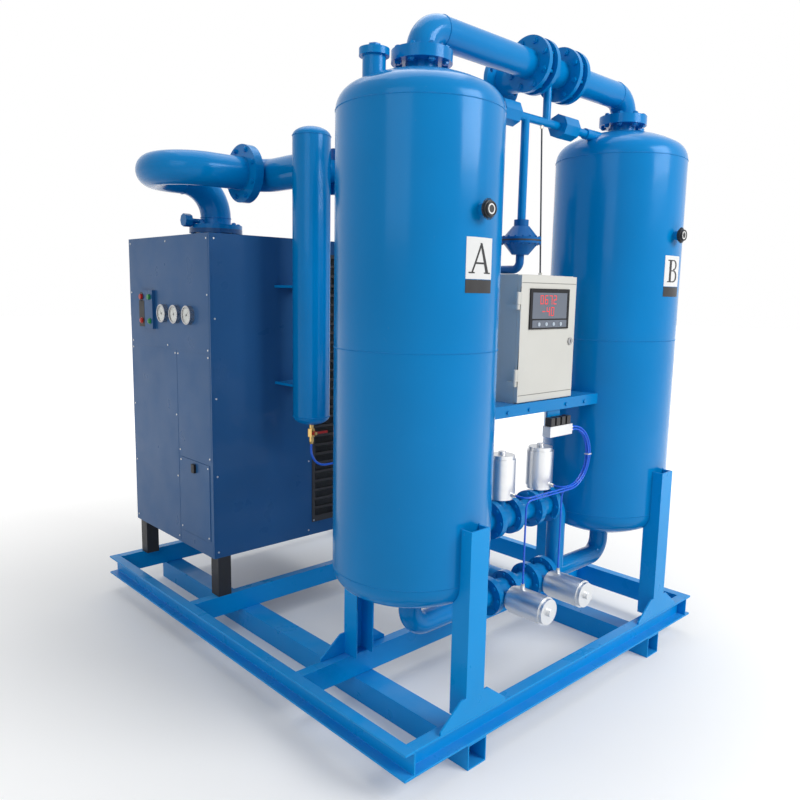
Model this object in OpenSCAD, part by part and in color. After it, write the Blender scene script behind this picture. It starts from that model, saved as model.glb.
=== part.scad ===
// Skid-mounted twin-tower desiccant air dryer with a pre-cooling cabinet.
// Millimetres. +X runs along the control box side, -Y is the front, +Z is up.

/* [Skid] */
// overall length of the skid along X
skid_w = 2010; // [1900:10:2200]
// overall depth of the skid along Y
skid_d = 2440; // [2340:10:2600]
// height of the rolled channel
beam_h = 100; // [90:1:120]
// flange width of the rolled channel
beam_b = 48; // [42:1:60]
// web thickness of the rolled channel
beam_t = 6; // [5:0.5:8]
// flange thickness of the rolled channel
flange_t = 8.5; // [7:0.5:10]
// outside width and height of a fork tube
fork_s = 100; // [90:1:115]
// wall of a fork tube
fork_t = 6; // [5:0.5:8]
// distance of a fork tube from the skid middle
fork_x = 640; // [600:5:690]

/* [Towers] */
// outside radius of a tower shell
shell_r = 300; // [285:1:312]
// wall of a tower shell
shell_t = 10; // [8:0.5:14]
// distance of each tower axis from the skid middle
tower_x = 663; // [645:1:690]
// distance of the tower axes behind the front of the skid
tower_back = 345; // [335:1:365]
// lower end of the straight shell above the floor
shell_z0 = 690; // [670:5:720]
// length of the straight shell
shell_len = 1640; // [1615:5:1660]
// knuckle radius of a dished head
knuckle_r = 90; // [70:1:110]
// crown radius of a dished head
crown_r = 540; // [480:5:600]
// outside width of a leg channel
leg_w = 96; // [90:1:105]
// depth of a leg channel
leg_d = 80; // [70:1:90]
// wall of a leg channel
leg_t = 8; // [6:0.5:10]
// top of a leg above the floor
leg_top = 900; // [860:5:930]
// width of a gusset plate along the rail
gusset_w = 350; // [320:5:380]
// height of a gusset plate
gusset_h = 90; // [70:5:110]

/* [Top pipework] */
// outside radius of the main pipe
pipe_r = 57; // [54:0.5:60]
// wall of the main pipe
pipe_t = 5; // [4:0.5:6]
// outside radius of a main flange
flange_r = 108; // [104:0.5:112]
// thickness of a main flange
main_t = 20; // [18:1:24]
// bolt circle radius of a main flange
bolt_circle = 88; // [84:0.5:90]
// radius of a main flange bolt
bolt_r = 7.5; // [6:0.5:8]
// clearance of a bolt in its hole
bolt_gap = 1.2; // [0.8:0.1:1.5]
// bend radius of the top elbows
top_bend = 86; // [82:1:92]
// thickness of a wafer check valve
wafer_t = 34; // [28:1:42]

/* [Small pipework] */
// outside radius of the purge pipe
purge_r = 17; // [15:0.5:20]
// height of the purge line above the straight shell
purge_up = 90; // [70:5:100]
// outside radius of the lower pipes
low_r = 44.5; // [42:0.5:48]
// wall of the lower pipes
low_t = 5; // [4:0.5:6]
// outside radius of a lower flange
low_flange_r = 82; // [78:0.5:86]
// height of the bottom pipe axis above the floor
low_z = 420; // [400:5:430]
// height of the inlet line above the floor
inlet_z = 760; // [740:5:790]
// outside radius of a control tube
tube_r = 4; // [3:0.5:5]

/* [Control box] */
// width of the control box
box_w = 380; // [360:5:400]
// height of the control box
box_h = 520; // [490:5:540]
// depth of the control box body
box_d = 180; // [160:5:200]
// sheet of the control box
box_t = 2; // [1.5:0.5:3]
// thickness of the door
door_t = 18; // [14:1:22]
// underside of the control box above the floor
box_z = 1270; // [1255:5:1290]

/* [Cabinet] */
// length of the cooling cabinet along X
cab_w = 940; // [900:5:960]
// depth of the cooling cabinet along Y
cab_d = 880; // [850:5:900]
// underside of the cabinet above the floor
cab_z = 400; // [385:5:420]
// height of the cabinet
cab_h = 1565; // [1530:5:1590]
// cabinet sheet thickness
cab_t = 3; // [2:0.5:4]
// distance of the cabinet from the left end of the skid
cab_left = 160; // [140:5:180]

/* [Cross-over and pre-filter] */
// outside radius of the cross-over pipe
cross_r = 79.5; // [76:0.5:82]
// wall of the cross-over pipe
cross_t = 6; // [5:0.5:7]
// outside radius of a cross-over flange
cross_flange_r = 140; // [136:1:146]
// bolt circle radius of a cross-over flange
cross_circle = 118; // [115:0.5:119]
// bend radius of the cross-over pipe
cross_bend = 190; // [180:1:200]
// height of the cross-over pipe axis
cross_z = 2275; // [2262:1:2295]
// outside radius of the pre-filter
filter_r = 90; // [84:1:96]
// lower end of the pre-filter shell
filter_z0 = 1100; // [1080:5:1130]
// upper end of the pre-filter shell
filter_z1 = 2420; // [2405:5:2440]

/* [Hidden] */
$fn = 48;
eps = 0.01;
front_y = -skid_d / 2;
rear_y = skid_d / 2;
deck_z = fork_s + beam_h;
tower_y = front_y + tower_back;
dish_c = sqrt(pow(crown_r - knuckle_r, 2) - pow(shell_r - knuckle_r, 2));
dish_h = crown_r - dish_c;
shell_z1 = shell_z0 + shell_len;
head_top = shell_z1 + dish_h;
purge_z = shell_z1 + purge_up;
head_low = shell_z0 - dish_h;
nozzle_h = 46;
nozzle_z = head_top + nozzle_h;
top_z = nozzle_z + main_t + top_bend;
tee_x = 70;
tee_half = 88;
tee_back = 260;
leg_rear_y = tower_y + tower_back;
box_y = tower_y - 90;
box_back = box_y + box_d;
cab_x0 = -skid_w / 2 + cab_left;
cab_x1 = cab_x0 + cab_w;
cab_y1 = rear_y - 27;
cab_y0 = cab_y1 - cab_d;
cab_z1 = cab_z + cab_h;
bend_x = cab_x0 + 115;
far_y = cab_y0 + 552;
near_y = far_y - 2 * cross_bend;
riser_x = bend_x + cross_bend + 42;
cross_t2 = 22;
pair_x = bend_x + 160;
filter_bend = 100;
filter_x = pair_x + 2 * cross_t2 + filter_bend;
filter_y = cab_y0 - 220;
valve_len = 120;
low_half = 75;
low_bend = 80;
branch_r = low_r - 2;
low_flange_t = 16;
flange_x = low_half + valve_len;
riser_low_x = flange_x + low_flange_t + 74;
hinge_x = -box_w / 2 - 10;
hinge_y = box_y - door_t / 2 - 1;
pin_r = 4;
pin_gap = 0.05;
bolts = 8;
blue = [0.0, 0.36, 0.78];
dull_blue = [0.09, 0.37, 0.66];
steel = [0.75, 0.76, 0.77];
cream = [0.88, 0.87, 0.82];
black = [0.05, 0.05, 0.06];
brass = [0.78, 0.58, 0.25];

// a pipe standing on the origin
module pipe(r, t, h) {
    difference() {
        cylinder(r = r, h = h);
        translate([0, 0, -eps])
            cylinder(r = r - t, h = h + 2 * eps);
    }
}

// a bend that starts at the origin upwards and leaves towards +X
module bend(cr, r, t) {
    translate([cr, 0, 0])
        rotate([90, 0, 180])
            rotate_extrude(angle = 90)
                translate([cr, 0])
                    difference() {
                        circle(r = r);
                        circle(r = r - t);
                    }
}

// a drilled ring standing on the origin
module ring(ro, ri, t, pcd, n, hole) {
    difference() {
        cylinder(r = ro, h = t);
        translate([0, 0, -eps])
            cylinder(r = ri, h = t + 2 * eps);
        for (i = [0:n - 1])
            rotate([0, 0, (i + 0.5) * 360 / n])
                translate([pcd, 0, -eps])
                    cylinder(r = hole, h = t + 2 * eps);
    }
}

// the drilled ring of the main pipe
module main_ring(ri = pipe_r - pipe_t) {
    ring(flange_r, ri, main_t, bolt_circle, bolts, bolt_r + bolt_gap);
}

// the drilled ring of the cross-over pipe
module cross_ring() {
    ring(cross_flange_r, cross_r - cross_t, cross_t2, cross_circle, bolts, bolt_r + bolt_gap);
}

// the ring of the lower pipes
module low_ring() {
    pipe(low_flange_r, low_flange_r - low_r + low_t, low_flange_t);
}

// a rolled channel along X, web at the back, on the origin
module channel(len) {
    rotate([90, 0, 90])
        linear_extrude(height = len)
            polygon([[0, 0], [beam_b, 0], [beam_b, beam_h], [0, beam_h], [0, beam_h - flange_t],
                [beam_b - beam_t, beam_h - flange_t - 2], [beam_b - beam_t, flange_t + 2],
                [0, flange_t]]);
}

module left_rail() {
    color(blue)
        translate([-skid_w / 2, rear_y, fork_s])
            rotate([0, 0, -90])
                channel(skid_d);
}

module right_rail() {
    color(blue)
        translate([skid_w / 2, front_y, fork_s])
            rotate([0, 0, 90])
                channel(skid_d);
}

module front_rail() {
    color(blue)
        translate([-skid_w / 2 + beam_b, front_y, fork_s])
            channel(skid_w - 2 * beam_b);
}

module rear_rail() {
    color(blue)
        translate([skid_w / 2 - beam_b, rear_y, fork_s])
            rotate([0, 0, 180])
                channel(skid_w - 2 * beam_b);
}

// a beam between the side rails with its web to the front
module cross_beam(y) {
    color(blue)
        translate([skid_w / 2 - beam_b, y + beam_b, fork_s])
            rotate([0, 0, 180])
                channel(skid_w - 2 * beam_b);
}

module front_cross_beam() {
    cross_beam(leg_rear_y - beam_b);
}

module rear_cross_beam() {
    cross_beam(cab_y0);
}

// a square tube along Y under the skid
module fork_tube(x) {
    color(blue)
        translate([x - fork_s / 2, front_y, 0])
            difference() {
                cube([fork_s, skid_d, fork_s]);
                translate([fork_t, -eps, fork_t])
                    cube([fork_s - 2 * fork_t, skid_d + 2 * eps, fork_s - 2 * fork_t]);
            }
}

module left_fork_tube() {
    fork_tube(-fork_x);
}

module right_fork_tube() {
    fork_tube(fork_x);
}

// points of a dished head from the shell to the axis, grown by g
function dish(g) =
    let (a1 = atan2(dish_c, shell_r - knuckle_r), k = knuckle_r + g, c = crown_r + g)
    concat(
        [for (i = [0:6]) [shell_r - knuckle_r + k * cos(a1 * i / 6), k * sin(a1 * i / 6)]],
        [for (i = [1:6]) let (a = a1 + (90 - a1) * i / 6) [c * cos(a), c * sin(a) - dish_c]]);

// the closed body of a tower, grown by g
module tower_body(g = 0) {
    up = dish(g);
    n = len(up);
    rotate_extrude()
        polygon(concat(
            [for (i = [n - 1:-1:0]) [max(0, up[i][0]), shell_z0 - up[i][1]]],
            [for (i = [0:n - 1]) [max(0, up[i][0]), shell_z1 + up[i][1]]]));
}

port_z = 1985;
port_r = 20;
port_len = 20;
fill_x = -178;
fill_y = 48;
fill_r = 40;
fill_z = shell_z1 + 165;
purge_x = shell_r - 150;
boss_len = 160;

// a pressure vessel with its nozzles, drawn for the left tower
module vessel() {
    difference() {
        union() {
            tower_body();
            translate([0, 0, head_top - 30])
                cylinder(r = pipe_r, h = nozzle_h + 30);
            translate([0, 0, nozzle_z - main_t])
                cylinder(r = flange_r, h = main_t);
            translate([0, 0, low_z + low_bend])
                cylinder(r = low_r, h = head_low + 30 - low_z - low_bend);
            translate([fill_x, fill_y, shell_z1])
                cylinder(r = fill_r, h = fill_z - shell_z1);
            translate([0, -shell_r + 12, port_z])
                rotate([90, 0, 0])
                    cylinder(r = port_r, h = port_len + 12);
            translate([purge_x, 0, purge_z])
                rotate([0, 90, 0])
                    cylinder(r = purge_r + 6, h = boss_len);
        }
        tower_body(-shell_t);
        translate([0, 0, shell_z1])
            cylinder(r = pipe_r - pipe_t, h = nozzle_z);
        translate([0, 0, low_z])
            cylinder(r = low_r - low_t, h = shell_z0 - low_z);
        translate([fill_x, fill_y, shell_z1])
            cylinder(r = fill_r - 5, h = fill_z);
        translate([0, -shell_r + 20, port_z])
            rotate([90, 0, 0])
                cylinder(r = port_r - 6, h = port_len + 20);
        translate([purge_x - 20, 0, purge_z])
            rotate([0, 90, 0])
                cylinder(r = purge_r - 3, h = boss_len + 40);
        for (i = [0:bolts - 1])
            rotate([0, 0, (i + 0.5) * 360 / bolts])
                translate([bolt_circle, 0, nozzle_z - main_t - 1])
                    cylinder(r = bolt_r + bolt_gap, h = main_t + 2);
    }
}

// places a left-tower piece at the left
module at_a() {
    translate([-tower_x, tower_y, 0])
        children();
}

// mirrors a left-tower piece to the right
module at_b() {
    translate([tower_x, tower_y, 0])
        mirror([1, 0, 0])
            children();
}

module tower_a_vessel() {
    color(blue)
        at_a()
            vessel();
}

module tower_b_vessel() {
    color(blue)
        at_b()
            vessel();
}

// a leg channel with gusset plates, standing in front of a tower
module leg() {
    difference() {
        translate([-leg_w / 2, -tower_back, deck_z])
            cube([leg_w, leg_d, leg_top - deck_z]);
        translate([-leg_w / 2 + leg_t, -tower_back + leg_t, deck_z - 1])
            cube([leg_w - 2 * leg_t, leg_d, leg_top - deck_z + 2]);
        tower_body();
    }
    for (s = [-1, 1])
        translate([0, -tower_back + leg_t, deck_z])
            rotate([90, 0, 0])
                linear_extrude(height = leg_t)
                    polygon([[s * leg_w / 2, 0], [s * gusset_w / 2, 0],
                        [s * gusset_w / 2, 12], [s * (leg_w / 2 + 24), gusset_h],
                        [s * leg_w / 2, gusset_h]]);
}

// the front and rear legs of a tower
module leg_pair() {
    leg();
    mirror([0, 1, 0])
        leg();
}

module tower_a_legs() {
    color(blue)
        at_a()
            leg_pair();
}

module tower_b_legs() {
    color(blue)
        at_b()
            leg_pair();
}

bed_low = shell_z0 + 20;
bed_high = shell_z1 - 120;

// the packed drying beads, as one body
module bed() {
    color(cream)
        translate([0, 0, bed_low])
            cylinder(r = shell_r - shell_t, h = bed_high - bed_low);
}

module desiccant_bed_a() {
    at_a()
        bed();
}

module desiccant_bed_b() {
    at_b()
        bed();
}

// the screwed cap of a filling neck
module fill_cap() {
    color(blue)
        translate([fill_x, fill_y, fill_z]) {
            cylinder(r = fill_r + 12, h = 24);
            translate([0, 0, 24])
                cylinder(r = 22, h = 16, $fn = 6);
        }
}

module fill_cap_a() {
    at_a()
        fill_cap();
}

module fill_cap_b() {
    at_b()
        fill_cap();
}

// the moisture sight screwed on a port
module sight_port() {
    color(black)
        translate([0, -shell_r - port_len, port_z])
            rotate([90, 0, 0]) {
                cylinder(r = port_r + 10, h = 16, $fn = 6);
                translate([0, 0, 16])
                    cylinder(r = port_r + 4, h = 8);
            }
}

module sight_port_a() {
    at_a()
        sight_port();
}

module sight_port_b() {
    at_b()
        sight_port();
}

// an elbow with a flange at each end, from a tower nozzle towards the middle
module top_elbow(run) {
    color(blue) {
        translate([0, 0, nozzle_z])
            main_ring();
        translate([0, 0, nozzle_z + main_t])
            bend(top_bend, pipe_r, pipe_t);
        translate([top_bend, 0, top_z])
            rotate([0, 90, 0])
                pipe(pipe_r, pipe_t, run - main_t - top_bend);
        translate([run - main_t, 0, top_z])
            rotate([0, 90, 0])
                main_ring();
    }
}

module top_elbow_a() {
    at_a()
        top_elbow(tower_x + tee_x - tee_half - wafer_t);
}

module top_elbow_b() {
    at_b()
        top_elbow(tower_x - tee_x - tee_half - wafer_t);
}

// a wafer check valve with its closed flap
module check_valve() {
    color(steel)
        rotate([0, 90, 0])
            difference() {
                cylinder(r = bolt_circle - bolt_r - 2, h = wafer_t);
                translate([0, 0, -eps])
                    cylinder(r = pipe_r - pipe_t, h = wafer_t / 2 - 4);
                translate([0, 0, wafer_t / 2 + 4])
                    cylinder(r = pipe_r - pipe_t, h = wafer_t);
            }
}

module check_valve_a() {
    translate([tee_x - tee_half - wafer_t, tower_y, top_z])
        check_valve();
}

module check_valve_b() {
    translate([tee_x + tee_half, tower_y, top_z])
        check_valve();
}

tap_r = 11;

// the dry air outlet between the two check valves
module outlet_tee() {
    color(blue)
        translate([tee_x, tower_y, top_z]) {
            difference() {
                union() {
                    translate([-tee_half, 0, 0])
                        rotate([0, 90, 0])
                            cylinder(r = pipe_r, h = 2 * tee_half);
                    rotate([-90, 0, 0])
                        cylinder(r = pipe_r, h = tee_back);
                }
                translate([-tee_half - 1, 0, 0])
                    rotate([0, 90, 0])
                        cylinder(r = pipe_r - pipe_t, h = 2 * tee_half + 2);
                rotate([-90, 0, 0])
                    cylinder(r = pipe_r - pipe_t, h = tee_back + 1);
                rotate([180, 0, 0])
                    cylinder(r = tap_r, h = pipe_r + 1);
            }
            translate([-tee_half, 0, 0])
                rotate([0, 90, 0])
                    main_ring(pipe_r);
            translate([tee_half - main_t, 0, 0])
                rotate([0, 90, 0])
                    main_ring(pipe_r);
            translate([0, tee_back - main_t, 0])
                rotate([-90, 0, 0])
                    main_ring(pipe_r);
        }
}

nut_h = 9;
nut_r = 13;
stud_over = 3;

// one ring of studs with a nut at each end, gripping g from the origin upwards
module stud_ring(pcd, g) {
    for (i = [0:bolts - 1])
        rotate([0, 0, (i + 0.5) * 360 / bolts])
            translate([pcd, 0, 0]) {
                translate([0, 0, -nut_h - stud_over])
                    cylinder(r = bolt_r, h = g + 2 * (nut_h + stud_over));
                translate([0, 0, -nut_h])
                    cylinder(r = nut_r, h = nut_h, $fn = 6);
                translate([0, 0, g])
                    cylinder(r = nut_r, h = nut_h, $fn = 6);
            }
}

module flange_bolts() {
    color(steel) {
        for (x = [-tower_x, tower_x])
            translate([x, tower_y, nozzle_z - main_t])
                stud_ring(bolt_circle, 2 * main_t);
        for (x = [tee_x - tee_half - wafer_t - main_t, tee_x + tee_half - main_t])
            translate([x, tower_y, top_z])
                rotate([0, 90, 0])
                    stud_ring(bolt_circle, 2 * main_t + wafer_t);
        translate([pair_x, near_y, cross_z])
            rotate([0, 90, 0])
                stud_ring(cross_circle, 2 * cross_t2);
        translate([riser_x, far_y, roof_z])
            stud_ring(cross_circle, 2 * cross_t2);
    }
}

roof_z = cab_z1 + 38;
purge_end = tower_x - purge_x - boss_len;
drop_x = -70;
check_r = 50;
check_len = 100;
check_x = 200;
valve_z = box_z + box_h + 140;
valve_r = 84;

// the purge pipe between the towers, with a check valve on each side
module purge_line() {
    color(blue)
        difference() {
            translate([0, tower_y, purge_z]) {
                translate([-purge_end, 0, 0])
                    rotate([0, 90, 0])
                        cylinder(r = purge_r, h = 2 * purge_end);
                for (x = [-check_x, check_x])
                    translate([x - check_len / 2, 0, 0])
                        rotate([0, 90, 0])
                            cylinder(r = check_r, h = check_len, $fn = 8);
                translate([tee_x, 0, 0])
                    cylinder(r = purge_r, h = top_z - purge_z - pipe_r / 2);
                translate([drop_x, 0, valve_z + valve_r - purge_z])
                    cylinder(r = purge_r, h = purge_z - valve_z - valve_r);
            }
            translate([tee_x - tee_half, tower_y, top_z])
                rotate([0, 90, 0])
                    cylinder(r = pipe_r, h = 2 * tee_half);
            translate([tee_x, tower_y, top_z])
                rotate([-90, 0, 0])
                    cylinder(r = pipe_r, h = tee_half);
        }
}

// the diaphragm valve that meters the purge air, with its outlet bend
module purge_valve() {
    color(dull_blue)
        translate([drop_x, tower_y, valve_z]) {
            translate([0, 0, -12])
                cylinder(r = valve_r, h = 24);
            translate([0, 0, 12])
                cylinder(r1 = valve_r - 12, r2 = 34, h = 46);
            translate([0, 0, 58])
                cylinder(r = 30, h = valve_r - 58);
            translate([0, 0, -58])
                cylinder(r1 = 34, r2 = valve_r - 12, h = 46);
            translate([0, 0, -84])
                cylinder(r = purge_r, h = 26);
            translate([0, 0, -84])
                rotate([0, 0, 90])
                    mirror([0, 0, 1])
                        bend(34, purge_r, 3);
            translate([0, 34, -118])
                rotate([-90, 0, 0])
                    cylinder(r = purge_r, h = 120);
        }
}

// the pipe under a tower that splits to the inlet and exhaust valves
module bottom_pipe() {
    run = tower_x - flange_x;
    up_x = tower_x - riser_low_x;
    color(blue) {
        translate([0, 0, low_z + low_bend])
            mirror([0, 0, 1])
                bend(low_bend, low_r, low_t);
        difference() {
            union() {
                translate([low_bend, 0, low_z])
                    rotate([0, 90, 0])
                        cylinder(r = low_r, h = run - low_bend - low_flange_t);
                translate([up_x, 0, low_z])
                    cylinder(r = branch_r, h = inlet_z - low_z - low_bend);
            }
            translate([low_bend - 1, 0, low_z])
                rotate([0, 90, 0])
                    cylinder(r = low_r - low_t, h = run);
            translate([up_x, 0, low_z])
                cylinder(r = branch_r - low_t, h = inlet_z - low_z);
        }
        translate([up_x, 0, inlet_z - low_bend])
            bend(low_bend, branch_r, low_t);
        for (z = [low_z, inlet_z])
            translate([run - low_flange_t, 0, z])
                rotate([0, 90, 0])
                    low_ring();
    }
}

module bottom_pipe_a() {
    at_a()
        bottom_pipe();
}

module bottom_pipe_b() {
    at_b()
        bottom_pipe();
}

act_r = 60;
act_h = 190;
neck_h = 86;

// a piston valve along X with its actuator upwards and an air port at height port
module piston_valve(port) {
    color(blue)
        rotate([0, 90, 0]) {
            translate([0, 0, -valve_len / 2])
                cylinder(r = low_flange_r, h = 14);
            translate([0, 0, valve_len / 2 - 14])
                cylinder(r = low_flange_r, h = 14);
            translate([0, 0, -valve_len / 2])
                cylinder(r = low_r + 10, h = valve_len);
        }
    color(steel) {
        cylinder(r = 24, h = neck_h + 10);
        translate([0, 0, neck_h])
            cylinder(r = act_r - 6, h = 16);
        translate([0, 0, neck_h + 16])
            cylinder(r = act_r, h = act_h - 32);
        translate([0, 0, neck_h + act_h - 16])
            cylinder(r = act_r - 6, h = 16);
        translate([0, 0, neck_h + act_h])
            cylinder(r = 16, h = 14);
        translate([0, 0, port])
            rotate([90, 0, 0])
                cylinder(r = 9, h = act_r + 12);
    }
}

tube_port = neck_h + 24;
valve_x = low_half + valve_len / 2;

module inlet_valve_a() {
    translate([-valve_x, tower_y, inlet_z])
        piston_valve(tube_port);
}

module inlet_valve_b() {
    translate([valve_x, tower_y, inlet_z])
        piston_valve(tube_port);
}

// a piston valve with its actuator forwards and its air port upwards
module exhaust_valve(port) {
    rotate([90, 0, 0])
        mirror([0, 1, 0])
            piston_valve(port);
}

module exhaust_valve_a() {
    translate([-valve_x, tower_y, low_z])
        exhaust_valve(tower_y - col_a);
}

module exhaust_valve_b() {
    translate([valve_x, tower_y, low_z])
        exhaust_valve(tower_y - col_b);
}

low_back = 180;

// a tee between two valves with its branch to the rear
module low_tee() {
    color(blue) {
        difference() {
            union() {
                translate([-low_half, 0, 0])
                    rotate([0, 90, 0])
                        cylinder(r = low_r, h = 2 * low_half);
                rotate([-90, 0, 0])
                    cylinder(r = low_r, h = low_back);
            }
            translate([-low_half - 1, 0, 0])
                rotate([0, 90, 0])
                    cylinder(r = low_r - low_t, h = 2 * low_half + 2);
            rotate([-90, 0, 0])
                cylinder(r = low_r - low_t, h = low_back + 1);
        }
        for (s = [0, 1])
            translate([-low_half + s * (2 * low_half - 14), 0, 0])
                rotate([0, 90, 0])
                    pipe(low_flange_r, low_flange_r - low_r, 14);
    }
}

module inlet_tee() {
    translate([0, tower_y, inlet_z])
        low_tee();
}

module exhaust_tee() {
    translate([0, tower_y, low_z])
        low_tee();
}

// the exhaust silencer behind the exhaust tee
module muffler() {
    color(steel)
        translate([0, tower_y + low_back, low_z])
            rotate([-90, 0, 0]) {
                cylinder(r1 = low_r, r2 = 75, h = 40);
                translate([0, 0, 40])
                    cylinder(r = 75, h = 260);
                translate([0, 0, 300])
                    cylinder(r = 60, h = 12);
            }
}

shelf_t = 8;
shelf_lip = 40;
shelf_front = box_y - 30;
shelf_back = box_back + 6;
man_x0 = -10;
man_w = 160;
man_d = 40;
man_h = 45;
man_z = box_z - shelf_t - shelf_lip - 107;
man_back = shelf_front + shelf_t;
fit_r = 5.5;
fit_len = 14;
tube_gap = 12;
col_b = man_back - 14;
col_a = col_b - tube_gap;
row_in = man_z + 14;
row_ex = row_in + tube_gap;

// the folded shelf welded between the towers
module box_shelf() {
    color(blue)
        difference() {
            union() {
                translate([-tower_x + 40, shelf_front, box_z - shelf_t])
                    cube([2 * tower_x - 80, shelf_back - shelf_front, shelf_t]);
                translate([-tower_x + 40, shelf_front, box_z - shelf_t - shelf_lip])
                    cube([2 * tower_x - 80, shelf_t, shelf_lip]);
                translate([man_x0 + 30, man_back, man_z])
                    cube([man_w - 70, shelf_t, box_z - shelf_t - man_z]);
            }
            for (x = [-tower_x, tower_x])
                translate([x, tower_y, box_z - shelf_t - shelf_lip - 1])
                    cylinder(r = shell_r, h = shelf_t + shelf_lip + 2);
        }
}

lip = 16;
ear_h = 20;
ear_r = 9;
pin_len = 50;
hinge_z = [box_z + 70, box_z + box_h - 140];

// the open sheet case with its hinge pins
module control_box() {
    color(cream) {
        difference() {
            translate([-box_w / 2, box_y, box_z])
                cube([box_w, box_d, box_h]);
            translate([-box_w / 2 + box_t, box_y + box_t, box_z + box_t])
                cube([box_w - 2 * box_t, box_d - 2 * box_t, box_h - 2 * box_t]);
            translate([-box_w / 2 + lip, box_y - 1, box_z + lip])
                cube([box_w - 2 * lip, box_d / 2, box_h - 2 * lip]);
        }
        for (z = hinge_z) {
            translate([hinge_x, hinge_y, z])
                cylinder(r = ear_r, h = ear_h);
            translate([hinge_x - ear_r, hinge_y, z])
                cube([-box_w / 2 - hinge_x + ear_r, box_y - hinge_y + 24, ear_h]);
            translate([hinge_x, hinge_y, z + ear_h])
                cylinder(r = pin_r, h = pin_len);
        }
    }
}

lock_x = box_w / 2 - 32;
lock_z = box_z + 245;
lock_r = 10;
cam_y = door_t + box_t + 6;

// the door sheet with its knuckles
module control_box_door() {
    color(cream)
        difference() {
            union() {
                translate([-box_w / 2, box_y - door_t - 1, box_z + 3])
                    cube([box_w, door_t, box_h - 6]);
                for (z = hinge_z)
                    translate([0, 0, z + ear_h + 0.5]) {
                        translate([hinge_x, hinge_y, 0])
                            cylinder(r = 8, h = pin_len - 1);
                        translate([hinge_x, hinge_y - 8, 0])
                            cube([14, 8, pin_len - 1]);
                    }
            }
            for (z = hinge_z) {
                translate([hinge_x, hinge_y, z])
                    cylinder(r = pin_r + pin_gap, h = pin_len + ear_h + 2);
                translate([-box_w / 2 - 1, box_y - door_t - 2, z - 1])
                    cube([3, door_t + 2, ear_h + 1.5]);
            }
            translate([lock_x, box_y, lock_z])
                rotate([90, 0, 0])
                    cylinder(r = lock_r + pin_gap, h = door_t + 2);
        }
}

panel_w = 270;
panel_h = 165;
panel_z = box_z + 300;

// the display bezel on the door
module display_panel() {
    color(black)
        translate([-panel_w / 2, box_y - door_t - 7, panel_z])
            difference() {
                cube([panel_w, 6, panel_h]);
                translate([14, -1, 40])
                    cube([panel_w - 28, 3, panel_h - 54]);
            }
}

// the quarter-turn lock with its cam behind the door
module door_lock() {
    color(steel)
        translate([lock_x, box_y - door_t - 1, lock_z]) {
            rotate([90, 0, 0])
                cylinder(r = lock_r + 5, h = 6);
            translate([0, door_t + 1.5, 0])
                rotate([90, 0, 0])
                    cylinder(r = lock_r, h = door_t + 1.5);
            translate([-6, cam_y, -6])
                cube([12, 4, 34]);
            translate([0, cam_y + 1, 0])
                rotate([90, 0, 0])
                    cylinder(r = 6, h = cam_y - door_t + 1);
        }
}

coils = 4;
coil_w = 26;
coil_h = 36;
coil_pitch = 38;

// the pilot valve block with coils and push-in fittings, on the plate under the shelf
module solenoid_bank() {
    color(steel) {
        translate([man_x0, man_back - man_d, man_z])
            cube([man_w, man_d, man_h]);
        for (y = [col_a, col_b])
            for (z = [row_in, row_ex])
                translate([man_x0 + man_w, y, z])
                    rotate([0, 90, 0])
                        cylinder(r = fit_r, h = fit_len);
    }
    color(black)
        for (i = [0:coils - 1])
            translate([man_x0 + 10 + i * coil_pitch, man_back - man_d + 4, man_z + man_h])
                cube([coil_w, man_d - 8, coil_h]);
}

tube_bend = 34;
tube_start = man_x0 + man_w + fit_len;
loop_x = tube_start + 16;
port_in = inlet_z + tube_port;
port_ex = low_z + act_r + 12;
act_y = tower_y - act_r - 12;
turn_in = (row_in - port_in) / 2;
turn_ex = turn_in + tube_gap;

// a pilot tube that leaves the block, turns back in a half circle of radius r and runs to x
module tube_loop(x, y, z, r) {
    translate([tube_start, y, z])
        rotate([0, 90, 0])
            cylinder(r = tube_r, h = loop_x - tube_start);
    translate([loop_x, y, z - r])
        rotate([90, 0, 0])
            rotate([0, 0, -90])
                rotate_extrude(angle = 180)
                    translate([r, 0])
                        circle(r = tube_r);
    translate([x + tube_bend, y, z - 2 * r])
        rotate([0, 90, 0])
            cylinder(r = tube_r, h = loop_x - x - tube_bend);
}

// a pilot tube to an inlet valve
module inlet_tube(x, y) {
    tube_loop(x, y, row_in, turn_in);
    translate([x + tube_bend, y + tube_bend, port_in])
        rotate([0, 0, 180])
            rotate_extrude(angle = 90)
                translate([tube_bend, 0])
                    circle(r = tube_r);
    translate([x, y + tube_bend, port_in])
        rotate([-90, 0, 0])
            cylinder(r = tube_r, h = act_y - y - tube_bend);
}

// a pilot tube to an exhaust valve
module exhaust_tube(x, y) {
    z = row_ex - 2 * turn_ex;
    tube_loop(x, y, row_ex, turn_ex);
    translate([x + tube_bend, y, z - tube_bend])
        rotate([90, 0, 0])
            rotate([0, 0, 90])
                rotate_extrude(angle = 90)
                    translate([tube_bend, 0])
                        circle(r = tube_r);
    translate([x, y, port_ex])
        cylinder(r = tube_r, h = z - tube_bend - port_ex);
}

sense_r = 3.5;
sense_x = 40;
sense_shift = 35;
sense_gap = 0.4;
sense_h = purge_z - purge_r - box_z - box_h;

// the pilot tubes to the four piston valves and the pressure tube down to the control box
module control_tubes() {
    color([0.05, 0.2, 0.75]) {
        inlet_tube(-valve_x, col_a);
        inlet_tube(valve_x, col_b);
        exhaust_tube(-valve_x, col_a);
        exhaust_tube(valve_x, col_b);
        translate([sense_x + sense_shift, tower_y, box_z + box_h])
            rotate([0, -atan2(sense_shift, sense_h), 0])
                translate([0, 0, sense_gap])
                    cylinder(r = sense_r, h = norm([sense_shift, sense_h]) - 2 * sense_gap);
    }
}

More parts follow.
